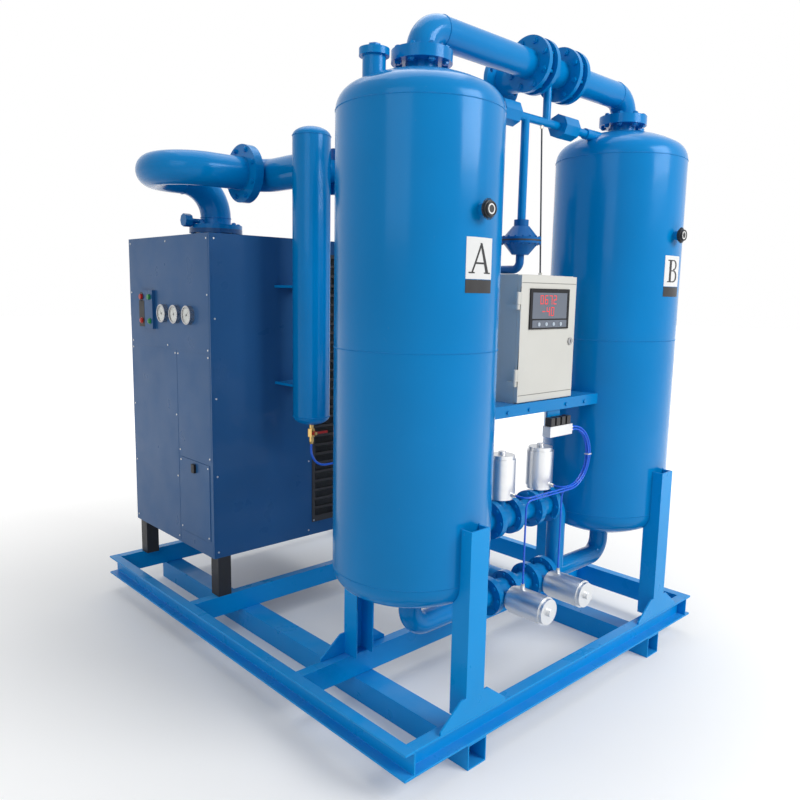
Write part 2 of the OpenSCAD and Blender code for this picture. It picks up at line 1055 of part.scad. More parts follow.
grille_w = 330;
grille_x = cab_x1 - grille_w - 25;
grille_z = cab_z + 70;
grille_h = cab_h - 140;
stub_z = cab_z + 420;
stub_y = (cab_y0 + cab_y1) / 2;
stub_len = 110;

// the sheet cabinet of the cooling section with its roof and side nozzles
module cabinet() {
    color(dull_blue) {
        difference() {
            union() {
                translate([cab_x0, cab_y0, cab_z])
                    cube([cab_w, cab_d, cab_h]);
                translate([riser_x, far_y, cab_z1])
                    cylinder(r = cross_r, h = roof_z - cab_z1);
                translate([cab_x1, stub_y, stub_z])
                    rotate([0, 90, 0])
                        cylinder(r = pipe_r, h = stub_len);
            }
            translate([cab_x0 + cab_t, cab_y0 + cab_t, cab_z + cab_t])
                cube([cab_w - 2 * cab_t, cab_d - 2 * cab_t, cab_h - 2 * cab_t]);
            translate([grille_x + 12, cab_y0 - 1, grille_z + 12])
                cube([grille_w - 24, cab_t + 2, grille_h - 24]);
            translate([riser_x, far_y, cab_z1 - cab_t - 1])
                cylinder(r = cross_r - cross_t, h = roof_z);
            translate([cab_x1 - cab_t - 1, stub_y, stub_z])
                rotate([0, 90, 0])
                    cylinder(r = pipe_r - pipe_t, h = stub_len + cab_t + 2);
        }
        translate([riser_x, far_y, roof_z])
            cross_ring();
        translate([cab_x1 + stub_len - main_t, stub_y, stub_z])
            rotate([0, 90, 0])
                main_ring(pipe_r);
    }
}

foot_s = 70;

// the dark feet under the cabinet corners
module cabinet_feet() {
    color(black)
        for (x = [cab_x0 + 20, cab_x1 - foot_s - 20])
            for (y = [cab_y0, cab_y1 - foot_s])
                translate([x, y, deck_z])
                    cube([foot_s, foot_s, cab_z - deck_z]);
}

// the finned coil behind the grille
module condenser() {
    color(black)
        translate([grille_x + 6, cab_y0 + cab_t, grille_z + 6])
            cube([grille_w - 12, 90, grille_h - 12]);
}

slats = 28;

// the slatted guard over the coil
module grille() {
    pitch = (grille_h - 40) / slats;
    color(black)
        translate([grille_x, cab_y0 - 4, grille_z])
            difference() {
                cube([grille_w, 4, grille_h]);
                for (i = [0:slats - 1])
                    translate([20, -1, 20 + (i + 0.28) * pitch])
                        cube([grille_w - 40, 6, pitch * 0.72]);
            }
}

// the small lift-off panel with its latch
module service_panel() {
    color(dull_blue) {
        translate([cab_x0 - 3, cab_y0 + 30, cab_z + 80])
            cube([3, 300, 380]);
        translate([cab_x0 - 15, cab_y0 + 165, cab_z + 400])
            cube([12, 30, 44]);
    }
}

gauge_r = 46;
gauge_up = 1180;
gauge_z = cab_z + gauge_up;
gauge_side = 197;
gauge_pitch = 135;

// the three panel gauges on the end of the cabinet
module gauges() {
    color(steel)
        for (i = [0:2])
            translate([cab_x0, cab_y0 + gauge_side + i * gauge_pitch, gauge_z])
                rotate([0, -90, 0])
                    difference() {
                        cylinder(r = gauge_r, h = 24);
                        translate([0, 0, 18])
                            cylinder(r = gauge_r - 7, h = 8);
                    }
}

plate_y = cab_y0 + 577;
plate_w = 160;
plate_h = 200;
plate_z = gauge_z - 85;
button_r = 14;
button_z = plate_z + 165;
start_y = plate_y + 32;
stop_y = plate_y + 126;
plate_d = 16;

// the switch plate that guides the two push buttons
module switch_plate() {
    color(dull_blue)
        difference() {
            translate([cab_x0 - plate_d, plate_y, plate_z])
                cube([plate_d, plate_w, plate_h]);
            for (y = [start_y, stop_y])
                translate([cab_x0 - plate_d - 1, y, button_z])
                    rotate([0, 90, 0])
                        cylinder(r = button_r + pin_gap, h = plate_d);
        }
}

// one push button in its guide
module button() {
    rotate([0, -90, 0]) {
        cylinder(r = button_r, h = 18);
        translate([0, 0, 14])
            cylinder(r = button_r - 2, h = 6);
    }
}

module start_button() {
    color([0.1, 0.55, 0.2])
        translate([cab_x0 - 7, start_y, button_z])
            button();
}

module stop_button() {
    color([0.75, 0.08, 0.06])
        translate([cab_x0 - 7, stop_y, button_z])
            button();
}

// the wet air pipe from the cabinet roof round to the pre-filter
module cross_over_pipe() {
    color(blue) {
        translate([riser_x, far_y, roof_z + cross_t2])
            cross_ring();
        translate([riser_x, far_y, roof_z + 2 * cross_t2])
            pipe(cross_r, cross_t, cross_z - cross_bend - roof_z - 2 * cross_t2);
        translate([riser_x, far_y, cross_z - cross_bend])
            mirror([1, 0, 0])
                bend(cross_bend, cross_r, cross_t);
        translate([bend_x, far_y, cross_z])
            rotate([0, 90, 0])
                pipe(cross_r, cross_t, riser_x - cross_bend - bend_x);
        translate([bend_x, (far_y + near_y) / 2, cross_z])
            rotate([0, 0, 90])
                rotate_extrude(angle = 180)
                    translate([cross_bend, 0])
                        difference() {
                            circle(r = cross_r);
                            circle(r = cross_r - cross_t);
                        }
        translate([bend_x, near_y, cross_z])
            rotate([0, 90, 0])
                pipe(cross_r, cross_t, pair_x - bend_x);
        translate([pair_x, near_y, cross_z])
            rotate([0, 90, 0])
                cross_ring();
        translate([riser_x - cross_r + 3, far_y, roof_z + 2 * cross_t2 + 16])
            rotate([0, -90, 0]) {
                cylinder(r = 12, h = plug_len);
                translate([0, 0, plug_len])
                    cylinder(r = 34, h = 40, $fn = 8);
            }
    }
}

plug_len = 74;
dome_h = 44;
out_z = cross_z;
out_len = 50;
out_x = filter_x + filter_r + out_len;

// half profile of the pre-filter, grown by g
module filter_body(g = 0) {
    rotate_extrude()
        polygon(concat(
            [for (i = [0:8]) [(filter_r + g) * sin(90 * i / 8),
                filter_z0 - (dome_h + g) * cos(90 * i / 8)]],
            [for (i = [0:8]) [(filter_r + g) * cos(90 * i / 8),
                filter_z1 + (dome_h + g) * sin(90 * i / 8)]]));
}

stub_end = near_y - filter_bend;

// the flanged elbow that turns the cross-over pipe into the pre-filter
module filter_elbow() {
    color(blue) {
        translate([pair_x + cross_t2, near_y, cross_z])
            rotate([0, 90, 0])
                cross_ring();
        translate([filter_x - filter_bend, stub_end, cross_z])
            rotate_extrude(angle = 90)
                translate([filter_bend, 0])
                    difference() {
                        circle(r = cross_r);
                        circle(r = cross_r - cross_t);
                    }
    }
}

// a straight nozzle of the pre-filter, from its axis to the inlet elbow
module filter_stub(r, over) {
    translate([0, stub_end - filter_y + over, cross_z])
        rotate([90, 0, 0])
            cylinder(r = r, h = stub_end - filter_y + over);
}

// a straight nozzle of the pre-filter, from its axis to the outlet
module filter_out(r, over) {
    translate([0, 0, out_z])
        rotate([0, 90, 0])
            cylinder(r = r, h = filter_r + out_len + over);
}

// the standing pre-filter with its inlet and outlet nozzles
module pre_filter() {
    color(blue)
        translate([filter_x, filter_y, 0]) {
            difference() {
                union() {
                    filter_body();
                    filter_stub(cross_r, 0);
                    filter_out(pipe_r, 0);
                }
                filter_body(-6);
                filter_stub(cross_r - cross_t, 1);
                filter_out(pipe_r - pipe_t, 1);
                translate([0, 0, filter_z0 - dome_h - 1])
                    cylinder(r = 8, h = 20);
            }
            translate([filter_r + out_len - main_t, 0, out_z])
                rotate([0, 90, 0])
                    pipe(flange_r, flange_r - pipe_r, main_t);
        }
}

bracket_w = 130;

// the two plates that hold the pre-filter to the cabinet
module filter_bracket() {
    color(blue)
        difference() {
            for (z = [filter_z0 + 140, filter_z0 + 620])
                translate([filter_x - bracket_w / 2, filter_y, z])
                    cube([bracket_w, cab_y0 - filter_y, 12]);
            translate([filter_x, filter_y, 0])
                cylinder(r = filter_r, h = filter_z1);
        }
}

drain_top = filter_z0 - dome_h;
drain_z = drain_top - 40;
stem_r = 5;
stem_y = filter_y - 22;

// the ball valve under the pre-filter
module drain_valve() {
    color(brass)
        translate([filter_x, filter_y, 0]) {
            translate([0, 0, drain_z - 45])
                cylinder(r = 11, h = drain_top - drain_z + 45);
            translate([0, 0, drain_z - 20])
                cylinder(r = 19, h = 40, $fn = 6);
            translate([0, 0, drain_z])
                rotate([90, 0, 0])
                    cylinder(r = stem_r, h = 36);
            translate([0, -34.5, drain_z])
                rotate([90, 0, 0])
                    cylinder(r = 8, h = 6);
        }
}

// the lever on the valve stem
module drain_lever() {
    color([0.75, 0.08, 0.06])
        translate([filter_x, stem_y, drain_z])
            rotate([90, 0, 0])
                difference() {
                    union() {
                        cylinder(r = 11, h = 12);
                        translate([0, -6, 2])
                            cube([80, 12, 5]);
                    }
                    translate([0, 0, -1])
                        cylinder(r = stem_r + pin_gap, h = 14);
                }
}

hose_r = 6;
hose_wall = 1.5;
hose_drop = 40;
hose_bend = 90;
hose_top = drain_z - 45;
hose_z = hose_top - hose_drop - hose_bend;
down_x = 0;
down_bend = 120;
collar_t = 8;
collar_h = 30;
collar_z = inlet_z + down_bend + 20;
trap_r = 34;
trap_x = down_x - pipe_r - collar_t - trap_r + 4;
trap_low = 60;
nipple = 14;

// the soft drain tube that leaves the valve and turns towards the trap
module drain_tube() {
    color([0.05, 0.2, 0.75])
        translate([filter_x, filter_y, 0]) {
            translate([0, 0, hose_top - hose_drop])
                cylinder(r = hose_r, h = hose_drop);
            translate([0, 0, hose_top - hose_drop])
                mirror([0, 0, 1])
                    bend(hose_bend, hose_r, hose_wall);
            translate([hose_bend, 0, hose_z])
                rotate([0, 90, 0])
                    cylinder(r = hose_r, h = trap_x - trap_r - nipple - filter_x - hose_bend);
        }
}

// the float trap that lets the condensate out, clamped to the transfer pipe
module drain_trap() {
    color(steel)
        difference() {
            union() {
                translate([down_x, filter_y, collar_z])
                    cylinder(r = pipe_r + collar_t, h = collar_h);
                translate([trap_x, filter_y, hose_z - trap_low])
                    cylinder(r = trap_r, h = collar_z + collar_h - hose_z + trap_low);
                translate([trap_x, filter_y, hose_z - trap_low - 22])
                    cylinder(r = 9, h = 30);
                translate([trap_x - trap_r - nipple, filter_y, hose_z])
                    rotate([0, 90, 0])
                        cylinder(r = hose_r + 4, h = trap_r + nipple);
            }
            translate([down_x, filter_y, collar_z - 1])
                cylinder(r = pipe_r, h = collar_h + 2);
        }
}

// the pipe from the pre-filter behind the left tower down to the inlet tee
module transfer_pipe() {
    color(blue) {
        translate([out_x, filter_y, out_z])
            rotate([0, 90, 0])
                pipe(flange_r, flange_r - pipe_r + pipe_t, main_t);
        translate([out_x + main_t, filter_y, out_z])
            rotate([0, 90, 0])
                pipe(pipe_r, pipe_t, down_x - down_bend - out_x - main_t);
        translate([down_x, filter_y, out_z - down_bend])
            mirror([1, 0, 0])
                bend(down_bend, pipe_r, pipe_t);
        translate([down_x, filter_y, inlet_z + down_bend])
            pipe(pipe_r, pipe_t, out_z - inlet_z - 2 * down_bend);
        translate([down_x, filter_y, inlet_z + down_bend])
            rotate([0, 0, -90])
                mirror([0, 0, 1])
                    bend(down_bend, pipe_r, pipe_t);
        translate([down_x, tower_y + low_back, inlet_z])
            rotate([-90, 0, 0])
                pipe(pipe_r, pipe_t, filter_y - down_bend - tower_y - low_back);
    }
}

left_rail();
right_rail();
front_rail();
rear_rail();
front_cross_beam();
rear_cross_beam();
left_fork_tube();
right_fork_tube();
tower_a_vessel();
tower_b_vessel();
tower_a_legs();
tower_b_legs();
desiccant_bed_a();
desiccant_bed_b();
fill_cap_a();
fill_cap_b();
sight_port_a();
sight_port_b();
top_elbow_a();
top_elbow_b();
check_valve_a();
check_valve_b();
outlet_tee();
flange_bolts();
purge_line();
purge_valve();
bottom_pipe_a();
bottom_pipe_b();
inlet_valve_a();
inlet_valve_b();
exhaust_valve_a();
exhaust_valve_b();
inlet_tee();
exhaust_tee();
muffler();
box_shelf();
control_box();
control_box_door();
display_panel();
door_lock();
solenoid_bank();
control_tubes();
cabinet();
cabinet_feet();
condenser();
grille();
service_panel();
gauges();
switch_plate();
start_button();
stop_button();
cross_over_pipe();
filter_elbow();
pre_filter();
filter_bracket();
drain_valve();
drain_lever();
drain_tube();
drain_trap();
transfer_pipe();
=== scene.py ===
import math
import bmesh
import bpy
from mathutils import Matrix, Vector


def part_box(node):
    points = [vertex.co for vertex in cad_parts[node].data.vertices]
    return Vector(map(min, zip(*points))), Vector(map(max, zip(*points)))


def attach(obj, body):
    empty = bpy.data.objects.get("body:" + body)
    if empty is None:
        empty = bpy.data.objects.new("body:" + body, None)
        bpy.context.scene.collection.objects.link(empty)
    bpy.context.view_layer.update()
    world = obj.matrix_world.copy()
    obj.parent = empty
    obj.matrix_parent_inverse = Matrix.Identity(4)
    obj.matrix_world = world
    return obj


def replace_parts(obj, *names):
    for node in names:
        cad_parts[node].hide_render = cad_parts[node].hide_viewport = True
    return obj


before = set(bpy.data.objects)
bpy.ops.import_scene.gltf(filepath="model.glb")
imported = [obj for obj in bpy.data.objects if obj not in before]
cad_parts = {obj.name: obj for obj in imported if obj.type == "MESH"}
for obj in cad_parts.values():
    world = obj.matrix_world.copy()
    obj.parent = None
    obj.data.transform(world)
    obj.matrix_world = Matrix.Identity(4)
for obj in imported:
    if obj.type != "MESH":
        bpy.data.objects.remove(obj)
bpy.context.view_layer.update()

# The view: a camera at eye height off the left front corner of the skid, looking a little down.
# Its place, lens and slight roll follow the perspective of the rails and the two towers.
scene = bpy.context.scene
scene.view_settings.view_transform = "Standard"
eye = Vector((-2.5688, -2.8308, 1.7124))
turn, tilt, roll = (math.radians(a) for a in (-43.131, 8.318, 1.086))
back = Vector((math.sin(turn) * math.cos(tilt), -math.cos(turn) * math.cos(tilt), math.sin(tilt)))
level = (-back).cross(Vector((0, 0, 1))).normalized()
rise = level.cross(-back)
view_right = math.cos(roll) * level + math.sin(roll) * rise
view_up = math.cos(roll) * rise - math.sin(roll) * level
lens = bpy.data.cameras.new("eye_height")
lens.sensor_width, lens.lens, lens.clip_end = 36, 33.38, 300
camera = bpy.data.objects.new("eye_height", lens)
camera.matrix_world = Matrix.Translation(eye) @ Matrix((view_right, view_up, back)).transposed().to_4x4()
scene.collection.objects.link(camera)
scene.camera = camera

# The studio: a pale painted floor and three large soft lamps under an even pale sky.
# The key lamp hangs to the right of the camera, so the front is bright and the left side falls into shade.


def add(nt, kind, **sets):
    n = nt.nodes.new(kind)
    for key, value in sets.items():
        if key in n.inputs:
            n.inputs[key].default_value = value
        else:
            setattr(n, key, value)
    return n


def noise(nt, at, scale, detail=3.0, rough=0.5):
    n = add(nt, "ShaderNodeTexNoise", Scale=scale, Detail=detail, Roughness=rough)
    nt.links.new(at, n.inputs["Vector"])
    return n.outputs["Fac"]


def spread(nt, value, *ends):
    """Maps value from the first two ends to the last two."""
    n = nt.nodes.new("ShaderNodeMapRange")
    nt.links.new(value, n.inputs[0])
    for i, v in enumerate(ends):
        n.inputs[i + 1].default_value = v
    return n.outputs[0]


def times(nt, a, b, how="MULTIPLY"):
    n = add(nt, "ShaderNodeMath", operation=how)
    nt.links.new(a, n.inputs[0])
    nt.links.new(b, n.inputs[1])
    return n.outputs[0]


def mixed(nt, part, a, b):
    n = add(nt, "ShaderNodeMix", data_type="RGBA")
    nt.links.new(part, n.inputs[0])
    for i, v in ((6, a), (7, b)):
        if isinstance(v, tuple):
            n.inputs[i].default_value = (*v, 1)
        else:
            nt.links.new(v, n.inputs[i])
    return n.outputs[2]


def blank(name):
    m = bpy.data.materials.new(name)
    m.use_nodes = True
    nt = m.node_tree
    return m, nt, nt.nodes["Principled BSDF"], nt.nodes.new("ShaderNodeTexCoord").outputs["Object"]


def straight_look(nt):
    ray = nt.nodes.new("ShaderNodeLightPath").outputs
    mirrored = times(nt, ray["Is Camera Ray"], ray["Is Glossy Ray"], "MAXIMUM")
    return times(nt, mirrored, ray["Is Transmission Ray"], "MAXIMUM")


floor_paint, nt, skin, at = blank("floor_paint")
tone = mixed(nt, noise(nt, at, 0.8, 5), (0.74, 0.74, 0.73), (0.80, 0.80, 0.79))
nt.links.new(tone, skin.inputs["Base Color"])
skin.inputs["Roughness"].default_value = 0.62
skin.inputs["Emission Color"].default_value = (1.0, 0.98, 0.96, 1)
far_off = add(nt, "ShaderNodeVectorMath", operation="LENGTH")
nt.links.new(at, far_off.inputs[0])
near, far, near_glow, far_glow = 0.8, 5.0, 0.06, 0.8
glow = spread(nt, far_off.outputs["Value"], near, far, near_glow, far_glow)
nt.links.new(times(nt, glow, straight_look(nt)), skin.inputs["Emission Strength"])
reach = 40
ground = bpy.data.meshes.new("floor")
ground.from_pydata([(-reach, -reach, 0), (reach, -reach, 0), (reach, reach, 0), (-reach, reach, 0)],
                   [], [(0, 1, 2, 3)])
ground.materials.append(floor_paint)
floor = bpy.data.objects.new("floor", ground)
scene.collection.objects.link(floor)

sky = bpy.data.worlds.new("pale_sky")
sky.use_nodes = True
scene.world = sky
wt = sky.node_tree
lit = wt.nodes["Background"]
lit.inputs["Color"].default_value = (0.93, 0.96, 1.0, 1)
lit.inputs["Strength"].default_value = 0.42
seen = add(wt, "ShaderNodeBackground", Color=(1.0, 1.0, 1.0, 1), Strength=1.0)
pick = wt.nodes.new("ShaderNodeMixShader")
wt.links.new(straight_look(wt), pick.inputs[0])
wt.links.new(lit.outputs[0], pick.inputs[1])
wt.links.new(seen.outputs[0], pick.inputs[2])
wt.links.new(pick.outputs[0], wt.nodes["World Output"].inputs["Surface"])


def soft_lamp(name, place, aim, size, watts):
    data = bpy.data.lights.new(name, "AREA")
    data.shape, data.size, data.size_y, data.energy = "RECTANGLE", size[0], size[1], watts
    lamp = bpy.data.objects.new(name, data)
    look = (Vector(place) - Vector(aim)).to_track_quat("Z", "Y").to_matrix().to_4x4()
    lamp.matrix_world = Matrix.Translation(place) @ look
    scene.collection.objects.link(lamp)


soft_lamp("key_lamp", place=(2.0, -6.2, 4.8), aim=(0, -0.3, 1.2), size=(3.4, 3.0), watts=320)
soft_lamp("fill_lamp", place=(-5.4, -2.4, 3.8), aim=(0, 0, 1.2), size=(3.0, 3.0), watts=48)
soft_lamp("roof_lamp", place=(0.4, 0.8, 6.8), aim=(0, 0, 0), size=(5.0, 5.0), watts=125)

# The skid: rolled steel channels, open side out, welded into a frame over two square fork tubes.
# It is sprayed in a bright blue enamel, a shade lighter than the towers, and gathers dust and scuffs first.


def bumped(nt, skin, value, strength, depth):
    n = add(nt, "ShaderNodeBump", Strength=strength, Distance=depth)
    nt.links.new(value, n.inputs["Height"])
    nt.links.new(n.outputs["Normal"], skin.inputs["Normal"])


def tint(colour, k):
    return tuple(min(1.0, c * k) for c in colour)


def enamel(name, colour, rough, dust, scuff):
    m, nt, skin, at = blank(name)
    tone = mixed(nt, noise(nt, at, 2.4, 4), tint(colour, 0.86), tint(colour, 1.1))
    chips = spread(nt, noise(nt, at, 46, 6, 0.7), 0.66, 0.74, 0.0, scuff)
    tone = mixed(nt, chips, tone, tuple(0.4 * c + 0.3 for c in colour))
    facing = add(nt, "ShaderNodeSeparateXYZ")
    nt.links.new(nt.nodes.new("ShaderNodeNewGeometry").outputs["Normal"], facing.inputs[0])
    lies = times(nt, spread(nt, facing.outputs["Z"], 0.55, 1.0, 0.0, dust),
                 spread(nt, noise(nt, at, 11, 5), 0.3, 0.7, 0.2, 1.0))
    nt.links.new(mixed(nt, lies, tone, (0.52, 0.54, 0.55)), skin.inputs["Base Color"])
    nt.links.new(spread(nt, noise(nt, at, 7, 4), 0.3, 0.7, *rough), skin.inputs["Roughness"])
    bumped(nt, skin, noise(nt, at, 210, 2), 0.07, 0.0015)
    skin.inputs["Specular IOR Level"].default_value = 0.28
    skin.inputs["Specular Tint"].default_value = (*(0.35 + 0.65 * c / max(colour) for c in colour), 1)
    skin.inputs["Coat Weight"].default_value = 0.06
    skin.inputs["Coat Roughness"].default_value = 0.06
    return m


def tree(name, sizes):
    g = bpy.data.node_groups.new(name, "GeometryNodeTree")
    g.interface.new_socket("Geometry", in_out="INPUT", socket_type="NodeSocketGeometry")
    for label, kind, value in sizes:
        s = g.interface.new_socket(label, in_out="INPUT", socket_type="NodeSocket" + kind)
        if value is not None:
            s.default_value = value
    g.interface.new_socket("Geometry", in_out="OUTPUT", socket_type="NodeSocketGeometry")
    return g, g.nodes.new("NodeGroupInput"), g.nodes.new("NodeGroupOutput")


def chain(g, *steps):
    for (a, out), (b, into) in zip(steps[::2], steps[1::2]):
        g.links.new(a.outputs[out], b.inputs[into])


def fit_tree(piece, g, **sizes):
    mod = piece.modifiers.new(g.name, "NODES")
    mod.node_group = g
    for item in g.interface.items_tree:
        key = item.name.replace(" ", "_").lower()
        if item.item_type == "SOCKET" and item.in_out == "INPUT" and key in sizes:
            mod[item.identifier] = sizes[key]


smooth_solid, inlet, outlet = tree("smooth_solid", [
    ("Crease", "Float", 0.55), ("Side", "Vector", (0, 0, 1)), ("Past", "Float", 1000.0),
    ("Far Finish", "Material", None)])
weld = add(smooth_solid, "GeometryNodeMergeByDistance", Distance=0.00002)
soft = add(smooth_solid, "GeometryNodeSetShadeSmooth")
hard = add(smooth_solid, "GeometryNodeSetShadeSmooth", domain="EDGE")
hard.inputs["Shade Smooth"].default_value = False
fold = add(smooth_solid, "GeometryNodeInputMeshEdgeAngle")
steep = add(smooth_solid, "FunctionNodeCompare", data_type="FLOAT", operation="GREATER_THAN")
spot = add(smooth_solid, "GeometryNodeInputPosition")
along = add(smooth_solid, "ShaderNodeVectorMath", operation="DOT_PRODUCT")
beyond = add(smooth_solid, "FunctionNodeCompare", data_type="FLOAT", operation="GREATER_THAN")
second = add(smooth_solid, "GeometryNodeSetMaterial")
chain(smooth_solid, (inlet, "Geometry"), (weld, "Geometry"), (weld, "Geometry"), (soft, "Geometry"),
      (soft, "Geometry"), (hard, "Geometry"), (fold, "Unsigned Angle"), (steep, "A"),
      (inlet, "Crease"), (steep, "B"), (steep, "Result"), (hard, "Selection"),
      (spot, "Position"), (along, 0), (inlet, "Side"), (along, 1),
      (along, "Value"), (beyond, "A"), (inlet, "Past"), (beyond, "B"),
      (hard, "Geometry"), (second, "Geometry"),
      (beyond, "Result"), (second, "Selection"), (inlet, "Far Finish"), (second, "Material"),
      (second, "Geometry"), (outlet, "Geometry"))


def dress(finish, *nodes, edge=0.0, side=(0, 0, 1), past=1000.0, far=None):
    """Paints CAD solids and rounds their edges; past a distance along side, they take the far finish."""
    for name in nodes:
        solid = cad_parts[name]
        solid.data.materials.clear()
        solid.data.materials.append(finish)
        if far:
            solid.data.materials.append(far)
        fit_tree(solid, smooth_solid, side=side, past=past, far_finish=far or finish)
        if edge:
            rim = solid.modifiers.new("rolled_edge", "BEVEL")
            rim.width, rim.segments, rim.limit_method, rim.angle_limit = edge, 2, "ANGLE", math.radians(50)
            rim.harden_normals = True


skid_enamel = enamel("skid_enamel", (0.0, 0.30, 0.73), rough=(0.24, 0.42), dust=0.07, scuff=0.25)
cross_beams = ("front_rail", "front_cross_beam", "rear_cross_beam", "rear_rail")
fork_tubes = ("left_fork_tube", "right_fork_tube")
dress(skid_enamel, "left_rail", "right_rail", *cross_beams, *fork_tubes, edge=0.002)

bead_tree, inlet, outlet = tree("weld_bead", [
    ("Bead", "Float", 0.004), ("Pitch", "Float", 0.006), ("Finish", "Material", None)])
run = add(bead_tree, "GeometryNodeMeshToCurve")
steps = add(bead_tree, "GeometryNodeResampleCurve")
steps.mode = "LENGTH"
drop = add(bead_tree, "GeometryNodeMeshIcoSphere", Radius=1.0, Subdivisions=1)
lay = add(bead_tree, "GeometryNodeInstanceOnPoints")
solid = add(bead_tree, "GeometryNodeRealizeInstances")
round_off = add(bead_tree, "GeometryNodeSetShadeSmooth")
paint = add(bead_tree, "GeometryNodeSetMaterial")
chain(bead_tree, (inlet, "Geometry"), (run, "Mesh"), (run, "Curve"), (steps, "Curve"),
      (inlet, "Pitch"), (steps, "Length"), (steps, "Curve"), (lay, "Points"),
      (drop, "Mesh"), (lay, "Instance"), (inlet, "Bead"), (lay, "Scale"),
      (lay, "Instances"), (solid, "Geometry"),
      (solid, "Geometry"), (round_off, "Geometry"), (round_off, "Geometry"), (paint, "Geometry"),
      (inlet, "Finish"), (paint, "Material"), (paint, "Geometry"), (outlet, "Geometry"))


def grown(name, verts, edges, g, body, slot, **sizes):
    base = bpy.data.meshes.new(name + "_base")
    base.from_pydata([tuple(v) for v in verts], edges, [])
    piece = bpy.data.objects.new(name, base)
    scene.collection.objects.link(piece)
    fit_tree(piece, g, **sizes)
    depsgraph = bpy.context.evaluated_depsgraph_get()
    made = bpy.data.meshes.new_from_object(piece.evaluated_get(depsgraph), depsgraph=depsgraph)
    piece.modifiers.clear()
    piece.data = made
    made.name = name
    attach(piece, body)
    return piece


def beads(name, paths, finish, bead, pitch):
    verts, edges = [], []
    for path in paths:
        start = len(verts)
        verts += path
        edges += [(start + i, start + i + 1) for i in range(len(path) - 1)]
    grown(name, verts, edges, bead_tree, "frame", "blue_paint", bead=bead, pitch=pitch, finish=finish)


inset, sunk = 0.004, 0.002
skid_runs = []
for tube in fork_tubes:
    lo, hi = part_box(tube)
    for beam in cross_beams:
        b0, b1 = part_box(beam)
        skid_runs += [[(x, b0.y + inset, hi.z), (x, b1.y - inset, hi.z)] for x in (lo.x, hi.x)]
for beam in cross_beams:
    b0, b1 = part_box(beam)
    skid_runs += [[(x, b0.y + inset, b1.z - sunk), (x, b1.y - inset, b1.z - sunk)] for x in (b0.x, b1.x)]
beads("skid_welds", skid_runs, skid_enamel, bead=0.0035, pitch=0.005)

# The towers: two pressure vessels of rolled plate with dished ends, on pairs of channel legs with gussets.
# Plate and heads are joined by girth welds, ground and sprayed over in one glossy bright blue.
tower_enamel = enamel("tower_enamel", (0.0, 0.215, 0.55), rough=(0.14, 0.26), dust=0.04, scuff=0.08)
dress(tower_enamel, "tower_a_vessel", "tower_b_vessel", "fill_cap_a", "fill_cap_b")
dress(skid_enamel, "tower_a_legs", "tower_b_legs", edge=0.003)
drying_beads, nt, skin, at = blank("drying_beads")
cells = add(nt, "ShaderNodeTexVoronoi", Scale=220.0)
nt.links.new(at, cells.inputs["Vector"])
# Each bead is painted light at its middle and dark towards its rim: painted shade on the round beads and in
# the hollows between them.
tone = mixed(nt, cells.outputs["Distance"], (0.86, 0.84, 0.78), (0.55, 0.53, 0.48))
nt.links.new(tone, skin.inputs["Base Color"])
skin.inputs["Roughness"].default_value = 0.8
bumped(nt, skin, cells.outputs["Distance"], 0.5, 0.002)
dress(drying_beads, "desiccant_bed_a", "desiccant_bed_b")


def span(node):
    """The corners of a CAD solid's box, to a tenth of a millimetre."""
    return [Vector([round(c, 4) for c in corner]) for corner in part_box(node)]


def middle(node):
    lo, hi = span(node)
    return Vector([round(c, 4) for c in (lo + hi) / 2])


def hoop(centre, axis, radius, n=64):
    spin = Vector(axis).to_track_quat("Z", "X").to_matrix()
    angles = [math.tau * i / n for i in range(n + 1)]
    return [Vector(centre) + spin @ Vector((radius * math.cos(a), radius * math.sin(a), 0)) for a in angles]


up = (0, 0, 1)
plate = 0.010
bed_lo, bed_hi = span("desiccant_bed_b")
tower_x, tower_y = (round(c, 4) for c in middle("desiccant_bed_b").xy)
shell_r = round((bed_hi.x - bed_lo.x) / 2 + plate, 4)
shell_low, shell_top = 0.690, 2.330
neck_r, neck_z = 0.058, 2.4685
leg_half, weld_out, weld_sunk = 0.048, 0.001, 0.0012
leg_foot, leg_top = 0.70, span("tower_a_legs")[1].z + 0.002
tower_runs = []
for x in (-tower_x, tower_x):
    for z in (shell_low, (shell_low + shell_top) / 2, shell_top):
        tower_runs.append(hoop((x, tower_y, z), up, shell_r - weld_sunk, 120))
    tower_runs.append(hoop((x, tower_y, neck_z), up, neck_r, 48))
    for front in (-1, 1):
        y = tower_y + front * math.sqrt(shell_r ** 2 - leg_half ** 2)
        left, right = x - leg_half - weld_out, x + leg_half + weld_out
        tower_runs.append([(left, y, leg_foot), (left, y, leg_top),
                           (right, y, leg_top), (right, y, leg_foot)])
beads("tower_welds", tower_runs, tower_enamel, bead=0.0032, pitch=0.0052)

# The tower marks: a white card with one large letter and a bare black strip below, stuck to each shell.
# They are printed film, so they follow the curve of the plate and stand hardly proud of it.


def plain(name, colour, rough=0.45, wave=0.08, shine=0.5, bump=0.05):
    m, nt, skin, at = blank(name)
    tone = mixed(nt, noise(nt, at, 9, 4), tint(colour, 1 - wave), tint(colour, 1 + wave))
    nt.links.new(tone, skin.inputs["Base Color"])
    wear = spread(nt, noise(nt, at, 23, 4), 0.3, 0.7, rough * 0.85, rough * 1.15)
    nt.links.new(wear, skin.inputs["Roughness"])
    bumped(nt, skin, noise(nt, at, 360, 2), bump, 0.0008)
    skin.inputs["Specular IOR Level"].default_value = shine
    return m


